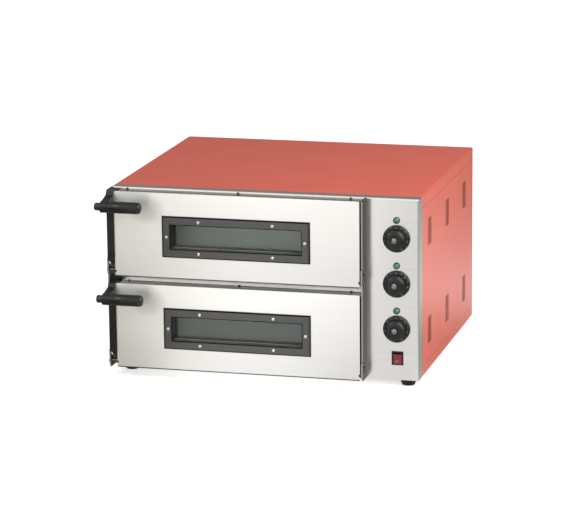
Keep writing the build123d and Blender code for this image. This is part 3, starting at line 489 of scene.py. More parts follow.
def baked_enamel(name):
    """Black enamel with a soft sheen on its face. Its outer bevels and edges are darkened with their sheen taken
    off as painted shade, its sill's upward faces are painted lighter as light from above, and a band at its foot
    is lighter still.
    """
    recipe = Recipe(name)
    skin = recipe.noise(even(1200), detail=3.0, rough=0.6)
    drawn = recipe.noise((40, 40, 1500), detail=3.0)
    wear = recipe.noise(even(60), detail=4.0, warp=0.6)
    inside = recipe.math("GREATER_THAN", recipe.axis("Y"), DOOR_FRONT - 1.2 * MM)
    upward = recipe.spread(recipe.facing("Z"), 0.0, 1.0, 0.6, 0.9)
    # Painted shade on the outer bevels and edges.
    edge = recipe.math("MULTIPLY", off_the_front(recipe), recipe.math("SUBTRACT", 1.0, inside))
    face = recipe.blend(recipe.spread(wear, 0.0, 1.0), grey(0.006), grey(0.012, 0.01))
    # Painted light on the sill's upward faces, with a lighter band at its foot.
    lit_sill = recipe.blend(recipe.spread(drawn, 0.0, 1.0), (0.045, 0.045, 0.04, 1), (0.10, 0.10, 0.09, 1))
    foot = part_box("door_lower_window_frame")[1].y - 3.5 * MM
    pale_foot = recipe.spread(recipe.axis("Y"), 0.0, 1.0, foot, foot + 1 * MM)
    lit_sill = recipe.blend(pale_foot, lit_sill, (0.46, 0.46, 0.38, 1))
    colour = recipe.blend(recipe.math("MULTIPLY", inside, upward), face, lit_sill)
    return recipe.shade(
        Base_Color=recipe.blend(edge, colour, grey(0.004)),
        IOR=1.8,
        Specular_IOR_Level=recipe.spread(edge, 0.50, 0.03, 0.0, 1.0),
        Roughness=recipe.math("ADD", recipe.spread(skin, 0.27, 0.35), recipe.spread(drawn, -0.03, 0.05)),
        Normal=recipe.bump(skin, 0.010, 0.3),
    )


def stone_slab(name):
    """Cordierite baking stone: sandy grain, pores and faint browning."""
    recipe = Recipe(name)
    grain = recipe.noise(even(1400), detail=3.0, rough=0.7)
    patch = recipe.noise(even(16), detail=4.0, warp=0.8)
    pores = recipe.add("TexVoronoi", Vector=recipe.coords, Scale=420.0).outputs["Distance"]
    sand = recipe.blend(recipe.spread(grain, 0.0, 1.0), (0.42, 0.34, 0.24, 1), (0.66, 0.57, 0.44, 1))
    brown = recipe.blend(recipe.spread(patch, 0.0, 0.5, 0.45, 0.75), sand, (0.25, 0.17, 0.10, 1))
    return recipe.shade(
        Base_Color=brown,
        Roughness=recipe.spread(grain, 0.82, 0.95),
        Normal=recipe.bump(recipe.math("ADD", grain, recipe.math("MINIMUM", pores, 0.3)), 0.15, 0.6),
    )


def mineral_wool(name):
    """Loose felt of fibres."""
    recipe = Recipe(name)
    strands = recipe.noise((900, 160, 1300), detail=5.0, rough=0.75, warp=1.2)
    clumps = recipe.noise(even(70), detail=3.0, warp=1.0)
    colour = recipe.blend(recipe.spread(strands, 0.0, 1.0), (0.36, 0.30, 0.18, 1), (0.74, 0.68, 0.50, 1))
    return recipe.shade(
        Base_Color=colour,
        Roughness=0.95,
        Sheen_Weight=0.3,
        Normal=recipe.bump(recipe.math("ADD", strands, clumps), 0.6, 0.8),
    )


def glass_braid(name):
    """Woven glass-fibre rope."""
    recipe = Recipe(name)
    x, z = recipe.axis("X"), recipe.axis("Z")
    cross = recipe.math(
        "MULTIPLY",
        recipe.math("SINE", recipe.math("MULTIPLY", recipe.math("ADD", x, z), 3200)),
        recipe.math("SINE", recipe.math("MULTIPLY", recipe.math("SUBTRACT", x, z), 3200)),
    )
    fuzz = recipe.noise(even(2600), detail=2.0)
    weave = recipe.spread(cross, 0.0, 1.0, -1.0, 1.0)
    return recipe.shade(
        Base_Color=recipe.blend(weave, (0.30, 0.28, 0.23, 1), (0.62, 0.60, 0.53, 1)),
        Roughness=recipe.spread(fuzz, 0.7, 0.9),
        Sheen_Weight=0.2,
        Normal=recipe.bump(weave, 0.2, 0.7),
    )


def ceramic(name):
    """Unglazed white ceramic."""
    recipe = Recipe(name)
    grain = recipe.noise(even(1300), detail=3.0)
    cream, white = (0.62, 0.59, 0.52, 1), (0.80, 0.78, 0.72, 1)
    return recipe.shade(
        Base_Color=recipe.blend(recipe.spread(grain, 0.0, 1.0), cream, white),
        Roughness=recipe.spread(grain, 0.5, 0.65),
        Normal=recipe.bump(grain, 0.03, 0.4),
    )


def oxidised_sheath(name):
    """Heating element sheath, dark and tempered in bands."""
    recipe = Recipe(name)
    scale = recipe.noise(even(500), detail=4.0, rough=0.7)
    heat = recipe.noise((9, 30, 9), detail=2.0)
    tone = recipe.blend(recipe.spread(heat, 0.0, 1.0), (0.055, 0.05, 0.048, 1), (0.16, 0.12, 0.10, 1))
    return recipe.shade(
        Base_Color=recipe.blend(recipe.spread(scale, 0.0, 0.5), tone, (0.20, 0.18, 0.16, 1)),
        Metallic=0.6,
        Roughness=recipe.spread(scale, 0.45, 0.7),
        Normal=recipe.bump(scale, 0.04, 0.6),
    )


def oven_glass(name):
    """Heat-proof pane, darkened and reflective, with a film of baked-on haze."""
    recipe = Recipe(name)
    film = recipe.noise(even(18), detail=4.0, warp=0.8)
    clear, hazed = (0.012, 0.016, 0.013, 1), (0.035, 0.042, 0.036, 1)
    return recipe.shade(
        Base_Color=recipe.blend(recipe.spread(film, 0.0, 1.0), clear, hazed),
        Alpha=0.42,
        IOR=2.2,
        Specular_Tint=(0.90, 1.0, 0.94, 1),
        Roughness=recipe.spread(film, 0.04, 0.12),
    )


def tinted_plastic(name, deep, bright, transmission, rough=0.18, glow=0.0):
    """Translucent coloured moulding with darker depths."""
    recipe = Recipe(name)
    cloud = recipe.noise(even(260), detail=2.0)
    colour = recipe.blend(recipe.spread(cloud, 0.0, 1.0), deep, bright)
    return recipe.shade(
        Base_Color=colour,
        Transmission_Weight=transmission,
        IOR=1.46,
        Roughness=recipe.spread(cloud, rough * 0.8, rough * 1.3),
        Coat_Weight=0.4,
        Coat_Roughness=0.08,
        Emission_Color=bright,
        Emission_Strength=glow,
        Normal=recipe.bump(cloud, 0.03, 0.2),
    )


def drawn_copper(name):
    """Copper capillary and bulb, slightly tarnished."""
    recipe = Recipe(name)
    tarnish = recipe.noise(even(150), detail=4.0, warp=0.7)
    brown, bright = (0.36, 0.16, 0.09, 1), (0.75, 0.40, 0.24, 1)
    return recipe.shade(
        Base_Color=recipe.blend(recipe.spread(tarnish, 0.0, 1.0), brown, bright),
        Metallic=1.0,
        Roughness=recipe.spread(tarnish, 0.25, 0.5),
    )


def worn_print(name):
    """Printed figures, slightly broken up."""
    recipe = Recipe(name)
    worn = recipe.noise(even(1500), detail=3.0)
    return recipe.shade(
        Base_Color=recipe.blend(recipe.spread(worn, 0.0, 1.0), grey(0.16), grey(0.30)),
        Roughness=recipe.spread(worn, 0.45, 0.7),
    )


# The floor's glow in reflections, as (place, level) stops. Behind the oven the place is Y. In front
# it is the track, X less a slant of Y, which stays the same along a reflection seen by the camera.
FRONT_GLOW = (
    (-0.40, 0.36), (-0.24, 0.46), (-0.14, 0.88), (-0.08, 1.86), (0.02, 2.14),
    (0.13, 2.00), (0.22, 1.52), (0.27, 1.28), (0.32, 1.04), (0.50, 0.86),
)
BEHIND_GLOW = ((0.0, 0.25), (0.25, 0.72), (0.5, 1.7), (0.8, 1.15), (1.15, 0.65), (1.8, 0.25))
TRACK_SLANT = 0.261
FAR_FRONT = -1.9
NEAR_FRONT = -0.30


def ramp(recipe, value, stops):
    """Glow looked up between (place, level) stops, warmer where it is dimmer."""
    low, high = stops[0][0], stops[-1][0]
    share = recipe.spread(value, 0.0, 1.0, low, high)
    node = recipe.add("ValToRGB", Fac=share)
    elements = node.color_ramp.elements
    elements.remove(elements[-1])
    for order, (at, level) in enumerate(stops):
        stop = elements[0] if order == 0 else elements.new((at - low) / (high - low))
        stop.color = (level, level * 0.985, level * min(0.56 + 0.40 * level, 0.97), 1)
    return node.outputs["Color"]


def studio_floor(name):
    """Pale paper sweep. Polished pieces see its soft bands of light; the camera sees it plain."""
    recipe = Recipe(name)
    tooth = recipe.noise(even(220), detail=3.0)
    ray = recipe.add("LightPath")
    x, y = recipe.axis("X"), recipe.axis("Y")
    track = recipe.math("SUBTRACT", x, recipe.math("MULTIPLY", y, TRACK_SLANT))
    front = ramp(recipe, track, FRONT_GLOW)
    left_fade = recipe.spread(y, 1.0, 0.66, FAR_FRONT, NEAR_FRONT)
    right_fade = recipe.spread(y, 0.76, 0.91, FAR_FRONT, NEAR_FRONT)
    on_right = recipe.spread(track, 0.0, 1.0, 0.25, 0.37)
    left_part = recipe.math("MULTIPLY", left_fade, recipe.math("SUBTRACT", 1.0, on_right))
    near = recipe.math("ADD", left_part, recipe.math("MULTIPLY", right_fade, on_right))
    front = recipe.blend(near, (0, 0, 0, 1), front)
    warm = recipe.spread(track, 0.9, 0.0, -0.28, 0.06)
    front = recipe.blend(warm, front, (1.0, 0.975, 0.88, 1), "MULTIPLY")
    right = recipe.spread(x, 0.0, 1.0, 0.45, 0.80)
    front = recipe.blend(right, front, (0.20, 0.19, 0.17, 1))
    behind = ramp(recipe, y, BEHIND_GLOW)
    seen = recipe.blend(recipe.spread(y, 0.0, 1.0, -0.25, 0.10), front, behind)
    glow = recipe.add("Emission", Color=seen, Strength=1.0).outputs["Emission"]
    recipe.shade(
        Base_Color=recipe.blend(recipe.spread(tooth, 0.0, 1.0), grey(0.80), grey(0.84)),
        Roughness=0.9,
        Specular_IOR_Level=0.1,
        Emission_Color=(1, 1, 1, 1),
        Emission_Strength=recipe.math("MULTIPLY", ray.outputs["Is Camera Ray"], 0.60),
        Normal=recipe.bump(tooth, 0.03, 0.2),
    )
    pick = recipe.add("MixShader")
    recipe.feed(pick.inputs[0], ray.outputs["Is Glossy Ray"])
    recipe.feed(pick.inputs[1], recipe.shader.outputs["BSDF"])
    recipe.feed(pick.inputs[2], glow)
    recipe.feed(recipe.tree.nodes["Material Output"].inputs["Surface"], pick.outputs[0])
    recipe.material.cycles.emission_sampling = "NONE"
    return recipe.material


LENGTHWISE = (60, 60, 2600)
# The fascia's top fold and side wrap are darkened as painted shade.
STEEL = satin_steel("satin_steel", 0.76, LENGTHWISE, (0.17, 0.23), painted_shade=fascia_fold_shade, folded=dull_wrap)
# The doors get painted shade on their bottom lips and behind their front sheets, and painted light and shade
# across each door with a painted shadow beside each grip.
DOOR_STEEL = satin_steel(
    "door_steel", 0.76, LENGTHWISE, (0.40, 0.47),
    painted_shade=door_painted_shade, shade_level=0.028, folded=smooth_flange, light_gain=door_painted_light,
)
# Painted shade: the hinge cheeks get a darker, warmer copy of the steel, darker still on their sideways faces.
SHADED_CHEEK_STEEL = satin_steel(
    "shaded_cheek_steel", 0.36, (60, 60, 700), (0.36, 0.46), warmth=0.04, painted_shade=off_the_front
)
RED_PAINT = powder_coat("red_powder_coat")
SIDE_PAINT = powder_coat("side_powder_coat", shaded_cuts=True)
CHROME = polished_metal("bright_chrome", 0.85, rough=0.10)
ZINC = polished_metal("zinc_plate", 0.52, rough=0.30, warmth=0.02)
OILED = polished_metal("oiled_steel", 0.14, rough=0.30, warmth=0.03)
NICKEL = polished_metal("nickel_plate", 0.62, rough=0.24)
# Painted shade: a darker copy of the chrome for the dial caps, standing for the dark they reflect.
SHADED_CHROME = polished_metal("shaded_chrome", 0.26, rough=0.16)
BLACKENED = moulded_black("black_oxide", 0.013, 0.34, pit=0.010, gloss=0.42)
LINER = aluminised_sheet("aluminised_sheet", 0.50)
STONE = stone_slab("baking_stone")
SHEATH = oxidised_sheath("element_sheath")
CERAMIC = ceramic("white_ceramic")
WOOL = mineral_wool("mineral_wool")
BRAID = glass_braid("glass_braid")
ENAMEL = baked_enamel("black_enamel")
GLASS = oven_glass("oven_glass")
BAKELITE = moulded_black("black_bakelite", 0.008, 0.28, pit=0.006, cells=700, gloss=0.32)
PLASTIC = moulded_black("black_plastic", 0.010, 0.34, pit=0.02, gloss=0.3)
RUBBER = moulded_black("black_rubber", 0.012, 0.58, pit=0.04, cells=1100, gloss=0.25)
HOUSING = ceramic("thermostat_housing")
COPPER = drawn_copper("drawn_copper")
GREEN = tinted_plastic("green_lens", (0.02, 0.10, 0.06, 1), (0.10, 0.36, 0.24, 1), 0.35, glow=0.05)
RED_PLASTIC = tinted_plastic(
    "red_rocker", (0.10, 0.003, 0.003, 1), (0.30, 0.012, 0.010, 1), 0.15, glow=0.02
)
WIRE = moulded_black("wire_sleeve", 0.10, 0.5)
PRINT = worn_print("dial_print")
SLOT_MATERIALS = {
    "brushed_stainless": STEEL,
    "red_powder_coat": RED_PAINT,
    "bright_steel": CHROME,
    "blackened_steel": BLACKENED,
    "aluminised_steel": LINER,
    "baking_stone": STONE,
    "element_sheath": SHEATH,
    "white_ceramic": CERAMIC,
    "mineral_wool": WOOL,
    "glass_braid": BRAID,
    "black_enamel": ENAMEL,
    "oven_glass": GLASS,
    "black_bakelite": BAKELITE,
    "black_plastic": PLASTIC,
    "black_rubber": RUBBER,
    "thermostat_body": HOUSING,
    "copper_bulb": COPPER,
    "green_lens": GREEN,
    "red_rocker": RED_PLASTIC,
    "wire_sleeve": WIRE,
}


def paint(piece, material):
    """Give a piece one material."""
    piece.data.materials.clear()
    piece.data.materials.append(material)
    return piece


def place(piece, material, body, slot, *stands_for):
    """Finish a new piece: material, the body it rides on and the nodes it stands for. The slot is not used."""
    paint(piece, material)
    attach(piece, body)
    if stands_for:
        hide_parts(*stands_for)
    return piece


# CAD nodes that stay ------------------------------------------------------------------------

EDGE_SOFTNESS = {
    "front_fascia": 0.35,
    "top_cover": 0.3,
    "base_pan": 0.3,
    "back_panel": 0.3,
    "baking_stones": 0.8,
    "terminal_block": 0.6,
}


def dress_cad_nodes():
    """Materials and shading for every node the frame brings."""
    slots = {sub["node"]: sub["material_slot"] for sub in frame["record"]["subparts"]}
    for node, piece in frame["nodes"].items():
        paint(piece, SLOT_MATERIALS[slots[node]])
        shade(piece, 28)
        if node in EDGE_SOFTNESS:
            soften(piece, EDGE_SOFTNESS[node])
    paint(frame["nodes"]["hinge_cheeks"], SHADED_CHEEK_STEEL)
    for node in ("side_panel_left", "side_panel_right"):
        paint(frame["nodes"][node], SIDE_PAINT)
    for node in ("hinge_pins", "casing_screws"):
        paint(frame["nodes"][node], OILED)
    paint(frame["nodes"]["foot_screws"], ZINC)
    for deck in DECKS:
        paint(frame["nodes"][f"door_{deck}_hinge_fittings"], OILED)
        paint(frame["nodes"][f"door_{deck}_window_screws"], NICKEL)
        paint(frame["nodes"][f"door_{deck}_outer_panel"], DOOR_STEEL)


# Controls -----------------------------------------------------------------------------------

DIAL_MARKS = 13
DIAL_SWEEP = math.radians(300)
DIAL_FIGURES = ("0", "50", "100", "150", "200", "250", "300")
BAND_OUTER = (22.9, 3.1)
BAND_INNER = (18.4, 4.7)
RIBS = 18


def dial_body(name, centre):
    """Dial moulding: skirt, print band and a waisted grip with fine ribs."""
    profile = [
        (0, 0.0), (23.2, 0.0), (24.0, 0.7), (24.0, 2.0), (23.4, 2.8), BAND_OUTER,
        BAND_INNER, (18.0, 4.6), (17.9, 5.2), (17.8, 6.4), (17.3, 12.0), (16.9, 14.6),
        (16.5, 15.7), (15.6, 16.7), (13.8, 17.6), (11.4, 18.3), (8.9, 18.7), (7.6, 18.6),
        (7.0, 18.0), (6.8, 16.0), (0, 15.6),
    ]

    def ribbed(radius, distance, angle):
        if 5.5 < distance < 17.0 and radius > 16:
            return radius - 0.28 * (1 - abs(math.cos(angle * RIBS)))
        return radius

    return lathe(name, centre, -Y_AXIS, profile, steps=216, shape=ribbed, smooth_angle=40)


def dial_point(centre, radius, angle, rise):
    """Point on a dial's print band; the angle runs clockwise from the top."""
    return centre + Vector((radius * math.sin(angle), -rise, radius * math.cos(angle))) * MM


def band_rise(radius):
    """Height of the print band over the dial's back at a radius."""
    share = (BAND_OUTER[0] - radius) / (BAND_OUTER[0] - BAND_INNER[0])
    return BAND_OUTER[1] + share * (BAND_INNER[1] - BAND_OUTER[1])


def sweep_angle(step, count):
    """Angle of one of so many marks spread over the dial's sweep."""
    return DIAL_SWEEP * (step / (count - 1) - 0.5)


def dial_ticks(name, centre):
    """Raised tick marks round the print band."""
    bm = bmesh.new()
    half = 0.28 / 22
    outer = 22.7
    for mark in range(DIAL_MARKS):
        angle = sweep_angle(mark, DIAL_MARKS)
        inner = 21.0 if mark % 2 else 21.9
        corners = [
            dial_point(centre, r, angle + side, band_rise(r) - 0.15)
            for r, side in ((outer, -half), (outer, half), (inner, half), (inner, -half))
        ]
        prism(bm, corners, -Y_AXIS * 0.25 * MM)
    return mesh_object(name, bm)


def dial_figure(text, centre, angle):
    """One figure standing on the print band, its top towards the rim."""
    curve = bpy.data.curves.new("figure", "FONT")
    curve.body = text
    curve.size = 2.6 * MM
    curve.extrude = 0.12 * MM
    curve.align_x = "CENTER"
    curve.align_y = "CENTER"
    figure = bpy.data.objects.new("figure", curve)
    bpy.context.scene.collection.objects.link(figure)
    bpy.context.view_layer.update()
    graph = bpy.context.evaluated_depsgraph_get()
    mesh = bpy.data.meshes.new_from_object(figure.evaluated_get(graph))
    bpy.data.objects.remove(figure)
    radius = 20.2
    spot = dial_point(centre, radius, angle, band_rise(radius) + 0.02)
    upright = Matrix.Rotation(math.radians(90), 4, "X")
    turn = Matrix.Rotation(angle, 4, "Y")
    slope = Matrix.Rotation(math.radians(-19), 4, "X")
    mesh.transform(Matrix.Translation(spot) @ turn @ slope @ upright)
    part = bpy.data.objects.new("figure", mesh)
    bpy.context.scene.collection.objects.link(part)
    return part


def dial_figures(name, centre):
    """All the figures of one dial."""
    parts = []
    for index, text in enumerate(DIAL_FIGURES):
        parts.append(dial_figure(text, centre, sweep_angle(index, len(DIAL_FIGURES))))
    piece = join(name, parts)
    bm = bmesh.new()
    bm.from_mesh(piece.data)
    bmesh.ops.remove_doubles(bm, verts=bm.verts, dist=0.002 * MM)
    bm.to_mesh(piece.data)
    bm.free()
    return piece


def make_dials():
    """The three dials with their print, chrome caps and spindles."""
    cap = [
        (0, -22.0), (3.0, -22.0), (3.0, 16.2), (5.6, 16.2), (5.7, 18.4), (5.4, 18.9),
        (4.9, 19.0), (4.5, 18.5), (4.3, 17.9), (3.9, 18.0), (3.6, 18.9), (2.6, 19.5),
        (1.3, 19.8), (0, 19.9),
    ]
    for dial in DIALS:
        low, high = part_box(f"knob_{dial}")
        centre = Vector(((low.x + high.x) / 2, high.y, (low.z + high.z) / 2))
        body = f"dial_{dial}"
        moulding = dial_body(f"dial_moulding_{dial}", centre)
        place(moulding, BAKELITE, body, "black_bakelite", f"knob_{dial}")
        place(dial_ticks(f"dial_ticks_{dial}", centre), PRINT, body, "black_bakelite")
        place(dial_figures(f"dial_figures_{dial}", centre), PRINT, body, "black_bakelite")
        chrome = lathe(f"dial_cap_{dial}", centre, -Y_AXIS, cap, steps=64)
        place(chrome, SHADED_CHROME, body, "bright_steel", f"knob_spindle_{dial}")


def make_lamps():
    """Domed and faceted green lenses in their bezels, one over each dial."""
    low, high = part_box("lamp_lenses")
    width = high.x - low.x
    rise = (high.z - low.z - width) / (len(DIALS) - 1)
    radius = width / 2 / MM
    profile = [
        (0, 0), (radius - 0.1, 0), (radius - 0.1, 1.4), (radius - 0.5, 2.3), (radius - 1.6, 3.1),
        (radius - 3.1, 3.5), (0, 3.6),
    ]

    def faceted(r, distance, angle):
        return r - 0.22 * abs(math.sin(angle * 6)) if 2 < distance < 3.3 else r

    parts = []
    for step in range(len(DIALS)):
        centre = Vector(((low.x + high.x) / 2, high.y, low.z + width / 2 + rise * step))
        parts.append(lathe("lens", centre, -Y_AXIS, profile, steps=72, shape=faceted, smooth_angle=25))
    place(join("signal_lenses", parts), GREEN, "chassis", "green_lens", "lamp_lenses")


def make_rocker():
    """Rocker with a dished face, rounded ends and a raised off mark."""
    low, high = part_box("switch_rocker")
    hinge = next(joint for joint in frame["joints"] if joint["name"] == "rocker_tilt")["pos_m"]
    pivot = Vector(((low.x + high.x) / 2, hinge[1], hinge[2]))
    half_x, half_z = 7.6, 8.8
    tilt = Matrix.Rotation(math.radians(8), 4, "X")
    columns = (
        (-half_x, 0.9), (-half_x + 0.5, 0.3), (-half_x + 1.1, 0.0), (0, 0.0),
        (half_x - 1.1, 0.0), (half_x - 0.5, 0.3), (half_x, 0.9),
    )
    steps = 16
    bm = bmesh.new()
    rings = []
    for x, back_off in columns:
        ring = []
        for step in range(steps + 1):
            z = half_z - back_off * 0.5 - (2 * half_z - back_off) * step / steps
            lift = 2.0 * (abs(z) / half_z) ** 1.6
            ring.append(Vector((x, -6.0 - lift + back_off * 0.9, z)))
        ring += [Vector((x, y, z)) for y, z in ((0, -8.2), (5.6, -4.8), (5.6, 4.8), (0, 8.2))]
        rings.append([bm.verts.new(pivot + tilt @ point * MM) for point in ring])
    for ring, after in zip(rings, rings[1:]):
        skin_rings(bm, ring, after)
    bm.faces.new(rings[0])
    bm.faces.new(rings[-1][::-1])
    cap = soften(mesh_object("rocker_cap", bm, 30), 0.25)
    place(cap, RED_PLASTIC, "rocker", "red_rocker", "switch_rocker")
    ring_centre = pivot + tilt @ Vector((0, -6.3, -4.4)) * MM
    outline = [(1.5, 0.0), (1.5, 0.95), (0.9, 0.95), (0.9, 0.0)]
    off_mark = turned_ring("rocker_mark", ring_centre, tilt @ -Y_AXIS, outline, steps=32)
    place(off_mark, PRINT, "rocker", "red_rocker")


# Doors --------------------------------------------------------------------------------------


def make_seal(deck):
    """Braided seal ring, flattened against the door."""
    low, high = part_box(f"door_{deck}_seal")
    radius = 3.4 * MM
    low_in = Vector((low.x + radius, 0, low.z + radius))
    high_in = Vector((high.x - radius, 0, high.z - radius))
    y = (low.y + high.y) / 2
    bend = 8 * MM
    pitch = 1.5 * MM
    corners = (
        (high_in.x - bend, high_in.z - bend, 0),
        (low_in.x + bend, high_in.z - bend, 90),
        (low_in.x + bend, low_in.z + bend, 180),
        (high_in.x - bend, low_in.z + bend, 270),
    )
    path = []
    for index, (x, z, start) in enumerate(corners):
        for step in range(7):
            angle = math.radians(start + 90 * step / 6)
            path.append(Vector((x + bend * math.cos(angle), y, z + bend * math.sin(angle))))
        after = corners[(index + 1) % 4]
        turn = math.radians(after[2])
        target = Vector((after[0] + bend * math.cos(turn), y, after[1] + bend * math.sin(turn)))
        count = int((target - path[-1]).length / pitch)
        path += [path[-1].lerp(target, step / count) for step in range(1, count)]

    def braid(step, angle):
        return 0.96 + 0.04 * math.cos(step * math.pi) * math.cos(angle * 5)

    piece = swept_tube(f"door_{deck}_braided_seal", path, radius, sides=20, closed=True, ripple=braid)
    half_depth = (high.y - low.y) / 2
    for vertex in piece.data.vertices:
        vertex.co.y = y + (vertex.co.y - y) * half_depth / radius
    place(piece, BRAID, f"door_{deck}", "glass_braid", f"door_{deck}_seal")


def make_grip(deck):
    """Turned grip with a slight swell, a collar at the arm and a domed end."""
    low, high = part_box(f"door_{deck}_handle_grip")
    centre = Vector((low.x, (low.y + high.y) / 2, (low.z + high.z) / 2))
    length = (high.x - low.x) / MM
    radius = (high.y - low.y) / 2 / MM
    profile = [
        (0, 0), (radius - 1.0, 0), (radius - 0.5, 0.4), (radius - 0.5, 2.2), (radius - 1.1, 2.8),
        (radius - 1.1, 3.4), (radius - 0.2, 4.6), (radius, length * 0.4), (radius, length - 7),
        (radius - 0.4, length - 3.4), (radius - 1.6, length - 1.2), (radius - 3.6, length - 0.2),
        (3.2, length), (2.8, length - 0.6), (0, length - 0.6),
    ]
    piece = lathe(f"door_{deck}_turned_grip", centre, X_AXIS, profile, steps=72, smooth_angle=40)
    place(piece, BAKELITE, f"door_{deck}", "black_bakelite", f"door_{deck}_handle_grip")


def make_doors():
    """Door pieces that replace plain CAD solids, and softened edges on the others."""
    for deck in DECKS:
        make_seal(deck)
        make_grip(deck)
        soften(frame["nodes"][f"door_{deck}_handle_arm"], 1.1, 3)
        soften(frame["nodes"][f"door_{deck}_window_frame"], 0.35)
        soften(frame["nodes"][f"door_{deck}_outer_panel"], 0.35)


# Mains lead and feet ------------------------------------------------------------------------

PLUG_BODY = 34


def make_feet():
    """Turned rubber feet with a moulding line and a hollow for the screw."""
    low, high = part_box("feet")
    top = 15.0
    height = (high.z - low.z) / MM
    profile = [
        (0, 0), (top - 0.6, 0), (top, 0.6), (top - 0.3, 3.0), (top - 0.7, 3.4), (top - 0.75, 4.0),
        (top - 0.55, 4.4), (12.0, height - 1.6), (11.3, height - 0.4), (10.6, height),
        (6.4, height), (5.6, height - 0.8), (5.5, 8.0), (0, 8.0),
    ]
    parts = []
    for x in (low.x + top * MM, high.x - top * MM):
        for y in (low.y + top * MM, high.y - top * MM):
            parts.append(lathe("foot", Vector((x, y, high.z)), -Z_AXIS, profile, steps=56))
    place(join("rubber_feet", parts), RUBBER, "chassis", "black_rubber", "feet")


def plug_sections(nose, tail):
    """(x in metres, half width, half height) along the plug, then its ribbed strain relief."""
    waist = nose + PLUG_BODY * MM
    sections = [
        (nose, 12.0, 6.6), (nose + 0.6 * MM, 12.0, 6.6), (nose + 9 * MM, 11.8, 6.8),
        (nose + 18 * MM, 10.4, 6.4), (nose + 27 * MM, 8.0, 5.6), (waist, 6.0, 4.8),
    ]
    ribs = 12
    for index in range(ribs + 1):
        half = 5.6 - 0.06 * index - 0.5 * (index % 2)
        x = waist + (tail - waist) / ribs * index + 0.2 * MM
        sections.append((x, half, half - 0.9))
    return sections


def plug_body(nose, tail, centre, lift):
    """Body of the plug, rounded square at the nose and round where the cable enters."""
    steps = 32
    bm = bmesh.new()
    rings = []
    for x, half_y, half_z in plug_sections(nose, tail):
        share = max(0.0, 1 - (x - nose) / (PLUG_BODY * MM))
        roundness = 0.55 if share > 0.2 else 1.0
        z = centre.z + lift * share
        half_z = max(min(half_z, (z - TABLE_Z) / MM - 0.1), 1)
        ring = []
        for step in range(steps):
            angle = math.tau * step / steps
            across = math.copysign(abs(math.cos(angle)) ** roundness, math.cos(angle))
            up = math.copysign(abs(math.sin(angle)) ** roundness, math.sin(angle))
            ring.append(bm.verts.new(Vector((x, centre.y + across * half_y * MM, z + up * half_z * MM))))
        rings.append(ring)
    for ring, after in zip(rings, rings[1:]):
        skin_rings(bm, ring, after)
    bm.faces.new(rings[0])
    bm.faces.new(rings[-1])
    return soften(mesh_object("moulded_plug", bm, 50), 0.8, 3, 50)


def make_plug():
    """Moulded plug: waisted body, ribbed strain relief and two sleeved pins."""
    low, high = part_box("mains_plug")
    cable_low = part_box("mains_cable")[0]
    cable_radius = 4 * MM
    centre = Vector((0, (low.y + high.y) / 2, cable_low.z + cable_radius))
    nose = low.x + 19 * MM
    lift = 3 * MM
    body = plug_body(nose, cable_low.x, centre, lift)
    place(body, RUBBER, "chassis", "black_rubber", "mains_plug")
    profile = [(0, 0), (2.35, 0), (2.35, 9.0), (2.1, 9.2), (2.1, 18.2), (1.4, 19.6), (0, 20.0)]
    pins = []
    for side in (-1, 1):
        spot = Vector((nose + 1 * MM, centre.y + side * 9.2 * MM, centre.z + lift))
        pins.append(lathe("pin", spot, -X_AXIS, profile, steps=32))
    place(join("plug_pins", pins), CHROME, "chassis", "bright_steel")


# Studio -------------------------------------------------------------------------------------

FRONT_LIGHT = (0.78, 0.78, 0.78, 1)
FRONT_REFLECTED = (1.28, 1.27, 1.22, 1)
BEHIND_LIGHT = (0.30, 0.26, 0.235, 1)
WHITE = (1, 1, 1, 1)

VIEW_AZIMUTH = 14.66
VIEW_ELEVATION = 13.18
VIEW_ROLL = -0.57
VIEW_LENS = 180.67
VIEW_DISTANCE = 5.3757
AIM_FROM_CASING = Vector((0.2783, 0.2, 0.1594))


def heading(azimuth, elevation):
    """Unit vector from the object towards a viewer at an azimuth and elevation."""
    a, e = math.radians(azimuth), math.radians(elevation)
    return Vector((math.sin(a) * math.cos(e), -math.cos(a) * math.cos(e), math.sin(e)))


def make_camera():
    """Long lens at the viewing angle, slightly rolled."""
    data = bpy.data.cameras.new("view")
    camera = bpy.data.objects.new("view", data)
    bpy.context.scene.collection.objects.link(camera)
    data.lens = VIEW_LENS
    data.sensor_width = 36
    data.clip_end = 60
    back = heading(VIEW_AZIMUTH, VIEW_ELEVATION)
    camera.location = CASING_LOW + AIM_FROM_CASING + back * VIEW_DISTANCE
    turn = (-back).to_track_quat("-Z", "Y").to_matrix().to_4x4()
    camera.rotation_euler = (turn @ Matrix.Rotation(math.radians(VIEW_ROLL), 4, "Z")).to_euler()
    bpy.context.scene.camera = camera


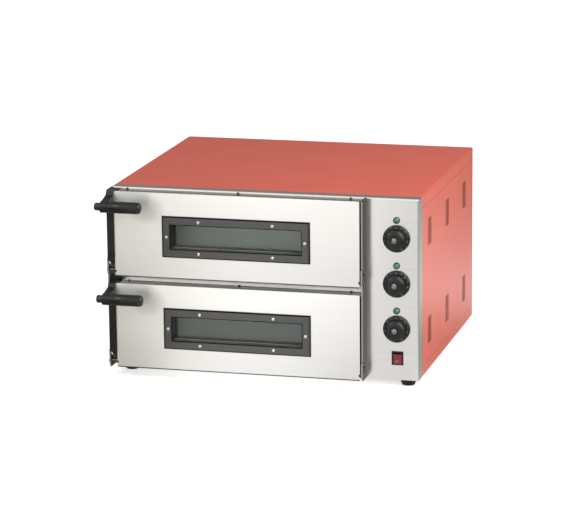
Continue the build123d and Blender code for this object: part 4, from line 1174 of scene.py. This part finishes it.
def area_light(name, azimuth, elevation, distance, size, power):
    """Square soft box aimed at the middle of the casing."""
    data = bpy.data.lights.new(name, "AREA")
    data.size = size
    data.energy = power
    light = bpy.data.objects.new(name, data)
    bpy.context.scene.collection.objects.link(light)
    back = heading(azimuth, elevation)
    light.location = (CASING_LOW + CASING_HIGH) / 2 + back * distance
    light.rotation_euler = (-back).to_track_quat("-Z", "Y").to_euler()


def make_world():
    """Bright room in front, dimmer and warmer behind the oven; the camera sees plain white.

    Reflections see the front brighter than it lights."""
    world = bpy.data.worlds.new("studio")
    bpy.context.scene.world = world
    world.use_nodes = True
    nodes, links = world.node_tree.nodes, world.node_tree.links

    def choose(share, first, second):
        mix = nodes.new("ShaderNodeMix")
        mix.data_type = "RGBA"
        links.new(share, mix.inputs[0])
        for socket, value in ((mix.inputs[6], first), (mix.inputs[7], second)):
            if isinstance(value, bpy.types.NodeSocket):
                links.new(value, socket)
            else:
                socket.default_value = value
        return mix.outputs[2]

    path = nodes.new("ShaderNodeLightPath").outputs
    split = nodes.new("ShaderNodeSeparateXYZ")
    links.new(nodes.new("ShaderNodeTexCoord").outputs["Generated"], split.inputs[0])
    behind = nodes.new("ShaderNodeMapRange")
    links.new(split.outputs["Y"], behind.inputs["Value"])
    behind.inputs["From Min"].default_value = -0.3
    behind.inputs["From Max"].default_value = 0.7
    front = choose(path["Is Glossy Ray"], FRONT_LIGHT, FRONT_REFLECTED)
    room = choose(behind.outputs["Result"], front, BEHIND_LIGHT)
    seen = choose(path["Is Camera Ray"], room, WHITE)
    links.new(seen, nodes["Background"].inputs["Color"])


def make_floor():
    """Wide pale floor under the feet."""
    bm = bmesh.new()
    half = 14.0
    for x, y in ((-half, -half), (half, -half), (half, half), (-half, half)):
        bm.verts.new((x, y, TABLE_Z))
    bm.faces.new(bm.verts)
    paint(mesh_object("pale_floor", bm), studio_floor("pale_floor"))


def make_studio():
    """Camera, room, floor and lights."""
    bpy.context.scene.view_settings.view_transform = "Standard"
    make_camera()
    make_world()
    make_floor()
    area_light("key", 62, 30, 2.4, 1.5, 28)
    area_light("top", 68, 46, 1.35, 0.8, 9)
    area_light("left", -45, 34, 2.2, 0.5, 8)


dress_cad_nodes()
make_dials()
make_lamps()
make_rocker()
make_doors()
make_feet()
make_plug()
make_studio()
